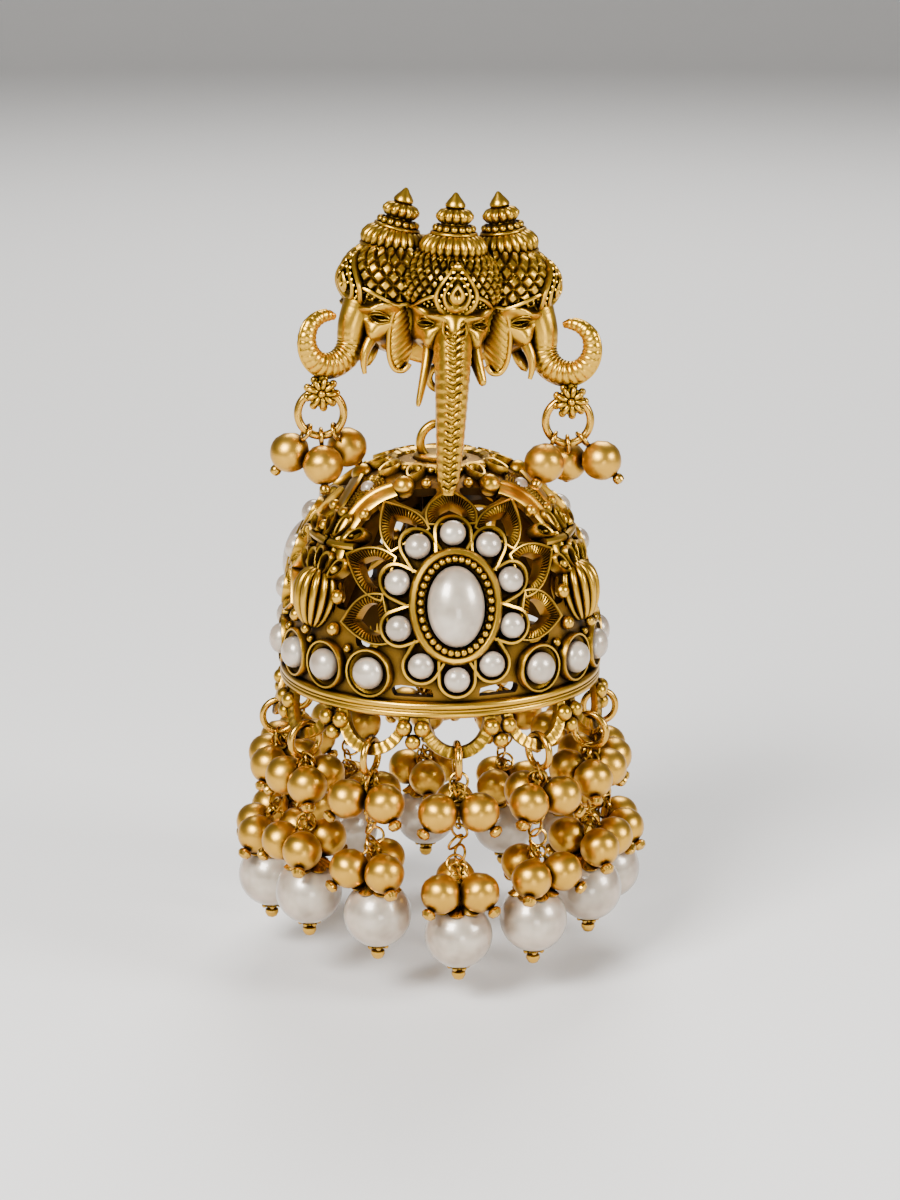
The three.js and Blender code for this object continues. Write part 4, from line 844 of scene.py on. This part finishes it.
def side_point(hand, reach, across, up):
    """A point in the plane that a side head faces along."""
    c, s = np.cos(np.radians(60)), np.sin(np.radians(60))
    return in_stud(hand * (5 + reach * s - across * c), 4 + reach * c + across * s, up)


middle = np.array([7.4, -3.3])
a = np.radians(np.linspace(180, 463, 190))
shrink = np.interp(np.degrees(a), (390, 463), (1.0, 0.8))[:, None]
root = eased([(2.6, 0.9), (3.9, -0.4), (4.6, -1.9), (4.8, -3.0)], 20)
path = dense(np.concatenate([root, middle + 2.6 * shrink * np.stack([np.cos(a), np.sin(a)], axis=-1)]), 0.075)
s = np.linspace(0, 1, len(path))
girth = np.interp(s, (0, 0.14, 0.25, 0.45, 0.65, 0.82, 0.96, 1), (2.5, 1.8, 1.58, 1.28, 1.05, 0.84, 0.55, 0.3))
fold = 1 + 0.1 * (np.abs(np.cos(s * np.pi * 30)) ** 0.7 - 0.6) * np.interp(s, (0.26, 0.36), (0, 1))
away = path - middle
away /= np.linalg.norm(away, axis=1)[:, None]
keep = slice(int(len(path) * 0.3), int(len(path) * 0.95))
ridge = path[keep] + away[keep] * (girth[keep, None] * 0.9)
curls = []
for hand in (-1, 1):
    normal = side_point(hand, 0, 1, 0) - side_point(hand, 0, 0, 0)
    curls.append(tube(side_point(hand, path[:, 0], 0, path[:, 1]), girth * fold, normal, 24, 0.86))
    thick = 0.3 * np.interp(s[keep], (0.3, 0.95), (1, 0.5))
    curls.append(tube(side_point(hand, ridge[:, 0], 0, ridge[:, 1]), thick, normal, 10))
piece("side_trunks", curls, cast_gold, "stud", crease=60)


# Tusks and ears. The tusks are plain pointed pegs; each ear is a ridged fan with a smooth raised
# rim, standing between two heads.

pegs = []
taper = np.interp(np.linspace(0, 1, 24), (0, 0.8, 0.95, 1), (1.35, 0.72, 0.58, 0.3))
for start, end, thick in (((-1.8, 8.6, -2.0), (-3.0, 10.9, -9.0), 0.5), ((1.8, 8.6, -2.0), (3.1, 11.3, -6.7), 0.72)):
    path = eased([start, (np.array(start) * 0.55 + np.array(end) * 0.45) + (0, 0.3, -0.3), end], 24)
    pegs.append(tube(in_stud(*path.T), thick * taper, (1, 0, 0), 12))
up = np.sin(np.linspace(-np.pi / 2, np.pi / 2, 120))[:, None]
a = circle(40)[None]
wide = np.cos(a) * (1.2 * np.clip(1 - np.abs(up) ** 2.6, 0.0004, 1) ** 0.42)
ridge = 0.17 * np.abs(np.cos((up * 3.1 + wide * 0.9) * np.pi * 1.5)) * (np.abs(np.sin(a)) > 0.25)
q = np.linspace(-2.3, 1.5, 60)
rim_x = 4.6 + 1.22 * np.sign(np.cos(q)) * np.abs(np.cos(q)) ** 0.8
rim_z = -3.0 + 3.12 * np.sign(np.sin(q)) * np.abs(np.sin(q)) ** 0.9
for hand in (-1, 1):
    for across, length in ((1.8, 3.5), (-1.8, 3.2)):
        s = np.linspace(0, 1, 16)
        path = side_point(hand, 3.7 + 0.9 * s + 0.5 * np.sin(s * np.pi), across * (1 + 0.15 * s), -3.0 - length * s)
        pegs.append(tube(path, np.linspace(0.6, 0.22, 16), (1, 0, 0), 12))
    pegs.append(seed(side_point(hand, 2.6, 0, -5.0), (hand * 0.5, -0.3, -1), (hand * 0.8, -0.5, 0),
                     (1.5, 0.75, 0.6)))
    pegs.append(skin(in_stud(hand * (4.6 + wide), 7.6 + 0.35 * wide + np.sin(a) * (0.4 + ridge),
                             -3.0 + 3.1 * up + 0 * a)))
    pegs.append(tube(in_stud(hand * rim_x, 8.1, rim_z), 0.27, (0, -1, 0), 8))
piece("tusks_and_ears", pegs, cast_gold, "stud", crease=60)


# The rosettes under the curls, which carry the charms: a small flower of stretched grains with a
# ball in its middle, a short neck above and a bail ring behind.

flowers = []
for hand in (-1, 1):
    x, forward, z = hand * 12.01, 8.05, -8.5
    flowers.append(torus(in_stud(x, forward - 1.35, z), 0.85, 0.5, (0, 1, 0), (0, 0, 1), 28, 10))
    flowers.append(tube(in_stud(x, forward - 0.1, np.linspace(-8.2, -5.9, 5)), 0.5, (1, 0, 0)))
    flowers.append(seed(in_stud(x, forward, z), (1, 0, 0), (0, -1, 0), (1.3, 1.3, 0.62)))
    flowers.append(ball(in_stud(x, forward + 0.8, z), 0.36, 12, 8))
    for a in np.arange(9) * 2 * np.pi / 9 + 0.17:
        spoke = in_stud(np.sin(a), 0, np.cos(a)) - in_stud(0, 0, 0)
        place = in_stud(x + 0.85 * np.sin(a), forward + 0.38, z + 0.85 * np.cos(a))
        flowers.append(seed(place, spoke, (0, -1, 0), (0.78, 0.34, 0.5)))
        for turn, reach, ahead, radius, cols in ((a, 1.42, 0.1, 0.4, 10), (a + np.pi / 9, 1.05, 0.25, 0.3, 8)):
            place = in_stud(x + reach * np.sin(turn), forward + ahead, z + reach * np.cos(turn))
            flowers.append(ball(place, radius, cols, 7 if cols == 10 else 6))
piece("rosettes", flowers, cast_gold, "stud")


# The link: a long closed loop of drawn wire through the lug and the bell's eye.

bright_wire = toned_and_shade_painted_gold("drawn_gold_wire", "#D0A03C", "#8A6420", "#2C1D08", 0.24, 0.0005, 0.12)
a = circle(60)
bend, straight = 1.05, 1.5375
path = np.stack([0 * a - 0.466, bend * np.cos(a) - 2,
                 bend * np.sin(a) + straight * np.sign(np.round(np.sin(a), 6)) - 10.5875], axis=-1)
link = piece("long_link", [tube(path, 0.35, (1, 0, 0), 12, loop=True)], bright_wire, "link")
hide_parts("link")


# The strands. In each scallop hangs a stout jump ring, under it a chain of thin rings with two
# bunches of three satin gold beads on headpins, and at the end one pearl in a flower cap.

bead_gold = toned_and_shade_painted_gold("satin_gold_bead", "#D2A038", "#8C641E", "#332108", 0.34, 0.0009, 0.2)
# How far the pearl of each strand hangs sideways, out and up from straight below its scallop, in mm.
under_scallop = ((0.1, 0.3, 0.0), (-0.8, 0.4, 0.7), (-1.2, 0.5, 1.6), (-0.6, 1.0, 0.4), (0.0, 0.6, 0.9),
                 (0.2, 0.8, 0.0), (-0.1, 0.5, 0.7), (0.0, 0.9, 0.0), (0.3, 0.6, 0.6), (0.6, 1.1, 1.0),
                 (1.2, 0.6, 2.4), (0.8, 0.4, 1.8))


def hung(turn, part):
    """A part by along, inwards and up from where a scallop's strand hangs, set at the rim and turned to it."""
    p, f = part
    x, y, c, s = p[:, 0], p[:, 1] - 16.244, np.cos(turn), np.sin(turn)
    return np.stack([x * c - y * s + bell["axis_x"], x * s + y * c + bell["axis_y"],
                     p[:, 2] + bell["rim_z"]], axis=-1), f


def moved(part, by):
    """A part shifted by a vector."""
    return part[0] + by, part[1]


def aimed(part, place, direction):
    """A part made round the third axis, pointed along a direction and moved to a place."""
    d = np.asarray(direction, float) / np.linalg.norm(direction)
    helper = np.array([0.0, 1.0, 0.0]) if abs(d[2]) > 0.7 else np.array([0.0, 0.0, 1.0])
    first = np.cross(helper, d)
    first /= np.linalg.norm(first)
    p, f = part
    return np.asarray(place, float) + p[:, :1] * first + p[:, 1:2] * np.cross(d, first) + p[:, 2:] * d, f


def wire_ring(middle, radius, wire, tilt, spin):
    """A ring of thin wire, its plane tilted from level and spun about the upright."""
    first = np.array([np.cos(spin), np.sin(spin), 0])
    second = np.array([-np.sin(spin) * np.cos(tilt), np.cos(spin) * np.cos(tilt), np.sin(tilt)])
    return torus(middle, radius, wire, first, second, 22, 8)


r = 1.95        # radius of a bead
bead = skin(lathe([(0.3, -r + 0.02), (r * 0.5, -r * 0.87), (r * 0.86, -r * 0.5), (r, -0.2), (r, 0.2),
                   (r * 0.97, r * 0.26), (r * 0.86, r * 0.5), (r * 0.7, r * 0.715), (r * 0.5, r * 0.87),
                   (0.3, r - 0.02)], 32))
pin_end = skin(lathe([(0.16, r - 0.1), (0.34, r + 0.02), (0.62, r + 0.22), (0.72, r + 0.5), (0.52, r + 0.86),
                      (0.1, r + 1.0)], 16))


def headpin(stop, place):
    """A bead on its pin: a loop above, the bead with small worn flats at its hole, and the ball of the pin's end."""
    d = place - stop - (0, 0, 2.3)
    d /= np.linalg.norm(d)
    across = np.cross(d, (0.3, 0.9, 0.2))
    across /= np.linalg.norm(across)
    pin = tube(np.stack([place - d * (r + 0.55), place - d * r * 0.9]), 0.17, (0.6, 0.5, 0.62), 8)
    ring = torus(place - d * (r + 0.95), 0.55, 0.26, d, across, 18, 8)
    return aimed(bead, place, d), [pin, aimed(pin_end, place, d), ring]


upper_z, lower_z, pearl_z = -9.7, -17.5, -22.4        # heights under the rim of the two bunches and the pearl
share = (lower_z - upper_z) / (pearl_z - upper_z)
cap = skin(lathe([(0.2, 3.66), (0.6, 3.64), (1.3, 3.44), (1.95, 2.98), (2.25, 2.72), (2.15, 2.55), (1.3, 3.06),
                  (0.2, 3.25)], 84, 7, 0.28))
foot = skin(lathe([(0.1, -3.1), (0.75, -3.2), (0.8, -3.42), (0.35, -3.55), (0.35, -3.6), (0.66, -3.85), (0.7, -4.15),
                   (0.5, -4.55), (0.1, -4.75)], 24))
a = np.linspace(0.05, np.pi - 0.05, 30)[:, None]
b = circle(48)[None]
globe = np.stack([3.3 * np.sin(a) * np.cos(b), 3.3 * np.sin(a) * np.sin(b), -3.28 * np.cos(a) + 0 * b], axis=-1)
for k, (turn, (side, out, lift)) in enumerate(zip(twelve, under_scallop)):
    upper = np.array([0, 0, lift * (1 - share) + upper_z])
    lower = np.array([side * share, -out * share, lift + lower_z])
    end = np.array([side, -out, lift + pearl_z])
    knobs, wires = [], [torus((0, 0, -4.825), 1.65, 0.7, (0, 1, 0), (0, 0, 1), 36, 12)]
    for stop, spread, half in ((upper, 2.3, 60), (lower, 2.65, 45)):
        for degrees, reach in ((-half, spread), (half, spread), (180, 2.3)):
            a = np.radians(degrees)
            knob, wire = headpin(stop, stop + (reach * np.sin(a), -reach * np.cos(a), 0.0))
            knobs.append(knob)
            wires += wire
    for i, z in enumerate(np.linspace(-6.9, upper[2] + 1.2, 3)):
        wires.append(wire_ring((0.15 * (-1) ** i, 0, z), 0.85, 0.3, 1.35, i * 1.4 + k))
    for i in range(7):
        middle = upper + (lower - upper) * ((i + 0.5) / 7) + (0.2 * (-1) ** i, 0, 0.6)
        wires.append(wire_ring(middle, 0.8 + 0.1 * (i % 2), 0.28, 1.3 - 0.25 * (i % 2), i * 1.3 + k * 0.7))
    for i in range(2):
        middle = lower + (end + (0, 0, 3.9) - lower) * ((i + 0.5) / 2)
        wires.append(wire_ring(middle, 0.7, 0.28, 1.4, i * 1.5 + k))
    wires += [moved(cap, end), torus(end + (0, 0, 4.05), 0.45, 0.26, (1, 0, 0), (0, 0, 1), 18, 8), moved(foot, end)]
    for a in np.arange(6) * np.pi / 3:
        wires.append(ball(end + (0.9 * np.cos(a), 0.9 * np.sin(a), -3.28), 0.27, 8, 6))
    beads = piece(f"strand_{k + 1}_beads", [hung(turn, part) for part in knobs], bead_gold, "drop")
    piece(f"strand_{k + 1}_wires", [hung(turn, part) for part in wires], bright_wire, "drop")
    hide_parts(f"bead_strand_{k + 1}")
    drop = piece(f"drop_pearl_{k + 1}", [hung(turn, skin(globe + end))], pearl, "drop")
    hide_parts(f"round_pearl_{k + 1}")


# The charms: a flat shiny ring through each rosette's bail, with three beads on headpins.

# The ring's middle, then for each drop its place round the ring and its leans sideways and to the front.
charms = {"left": ((-12.44, -6.7, -10.11), ((-38, -36, -18), (0, 2, 26), (38, 32, -36))),
          "right": ((11.55, -6.7, -11.37), ((-38, -30, 36), (38, 42, 14), (0, 6, -40)))}
charm_bead = skin(lathe([(0.3, -1.93), (0.98, -1.7), (1.68, -0.98), (1.95, -0.2), (1.95, 0.2), (1.89, 0.51),
                         (1.68, 0.98), (1.37, 1.39), (0.98, 1.7), (0.3, 1.93)], 32))
charm_end = skin(lathe([(0.16, 1.85), (0.34, 1.97), (0.52, 2.2), (0.56, 2.48), (0.46, 2.8), (0.1, 2.93)], 16))
for side, (middle, drops) in charms.items():
    hoop = torus(middle, 2.2, 0.8, (1, 0, 0), (0, 0, 1), 64, 16)
    ring = piece(f"charm_ring_{side}_wire", [hoop], bright_wire, "stud")
    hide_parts(f"charm_ring_{side}")
    for k, drop in enumerate(drops):
        place, lean, front = np.radians(drop)
        d = np.array([np.cos(front) * np.sin(lean), -np.sin(front), -np.cos(front) * np.cos(lean)])
        across = np.array([0.0, np.cos(front), -np.sin(front)])
        top = np.array(middle) + (2.2 * np.sin(place), 0, -2.2 * np.cos(place))
        centre = top + d * 2.9
        wires = [torus(top + d * 0.15, 0.8, 0.4, across, d, 28, 10),
                 tube(np.stack([centre - d * 2.0, centre - d * 1.7]), 0.2, across, 8), aimed(charm_end, centre, d)]
        made = piece(f"charm_{side}_{k + 1}_bead", [aimed(charm_bead, centre, d)], bead_gold, "stud")
        piece(f"charm_{side}_{k + 1}_pin", wires, bright_wire, "stud")
        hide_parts(f"charm_drop_{side}_{k + 1}")


# The photographer's table and lights: a pale sheet swept up all round like a shallow bowl, a big soft
# window to the left and above, a weaker one to the right, a low fill in front, so the gold shows broad
# soft highlights, and a window behind that lights the sheet there.

def plain(name, code, roughness):
    """One colour all over with a given roughness."""
    m, shader = blank(name)
    shader.inputs["Base Color"].default_value, shader.inputs["Roughness"].default_value = linear(code), roughness
    return m


def staged(kind, name, data, spot, target):
    """A light or camera at a spot, aimed at a target."""
    made = bpy.data.objects.new(name, data)
    bpy.context.scene.collection.objects.link(made)
    made.location = spot
    made.rotation_euler = (Vector(target) - Vector(spot)).to_track_quat("-Z", "Y").to_euler()
    return made


sheet_z = -0.0668
curve = [(1.2 + 0.3 * np.sin(a), sheet_z + 0.3 - 0.3 * np.cos(a)) for a in np.linspace(0.1, np.pi / 2, 12)]
profile = [(0.01, sheet_z), (0.4, sheet_z), (1.2, sheet_z)] + curve + [(1.5, 0.3)]
mesh = bpy.data.meshes.new("sheet")
points, faces = skin(lathe(profile, 96)[::-1])
# Of the two caps only the small one in the middle stays: the other would close the bowl like a lid.
mesh.from_pydata(points.tolist(), [], [f[::-1] for f in faces if min(f) > 0 or len(f) < 9])
mesh.materials.append(plain("pale_sheet", "#EDEBE8", 0.6))
mesh.shade_smooth()
floor = bpy.data.objects.new("sheet", mesh)
bpy.context.scene.collection.objects.link(floor)

part_middle, sheet_behind = (0.0005, -0.002, -0.03), (0.0, 0.35, sheet_z)
for name, spot, size, watts, target in (("window", (-0.25, -0.3, 0.28), 0.2, 5.0, part_middle),
                                        ("far_window", (0.32, -0.2, 0.15), 0.14, 1.6, part_middle),
                                        ("front_fill", (0.05, -0.45, -0.02), 0.12, 0.35, part_middle),
                                        ("back_window", (0.1, 0.5, 0.5), 0.4, 5.0, sheet_behind)):
    data = bpy.data.lights.new(name, "AREA")
    data.size, data.energy = size, watts
    staged("LIGHT", name, data, spot, target)
world = bpy.data.worlds.new("room")
bpy.context.scene.world = world
world.use_nodes = True
world.node_tree.nodes["Background"].inputs["Color"].default_value = linear("#F2F1F0")
world.node_tree.nodes["Background"].inputs["Strength"].default_value = 0.2

target, azimuth, elevation, distance = np.array([0.534, -2.0, -30.3]), np.radians(-6), np.radians(15), 280.0
eye = target + distance * np.array([np.sin(azimuth) * np.cos(elevation), -np.cos(azimuth) * np.cos(elevation),
                                    np.sin(elevation)])
lens = bpy.data.cameras.new("camera")
lens.lens, lens.sensor_width = 84, 36
lens.clip_start = 0.01
camera = staged("CAMERA", "camera", lens, tuple(eye * 0.001), tuple(target * 0.001))
bpy.context.scene.camera = camera
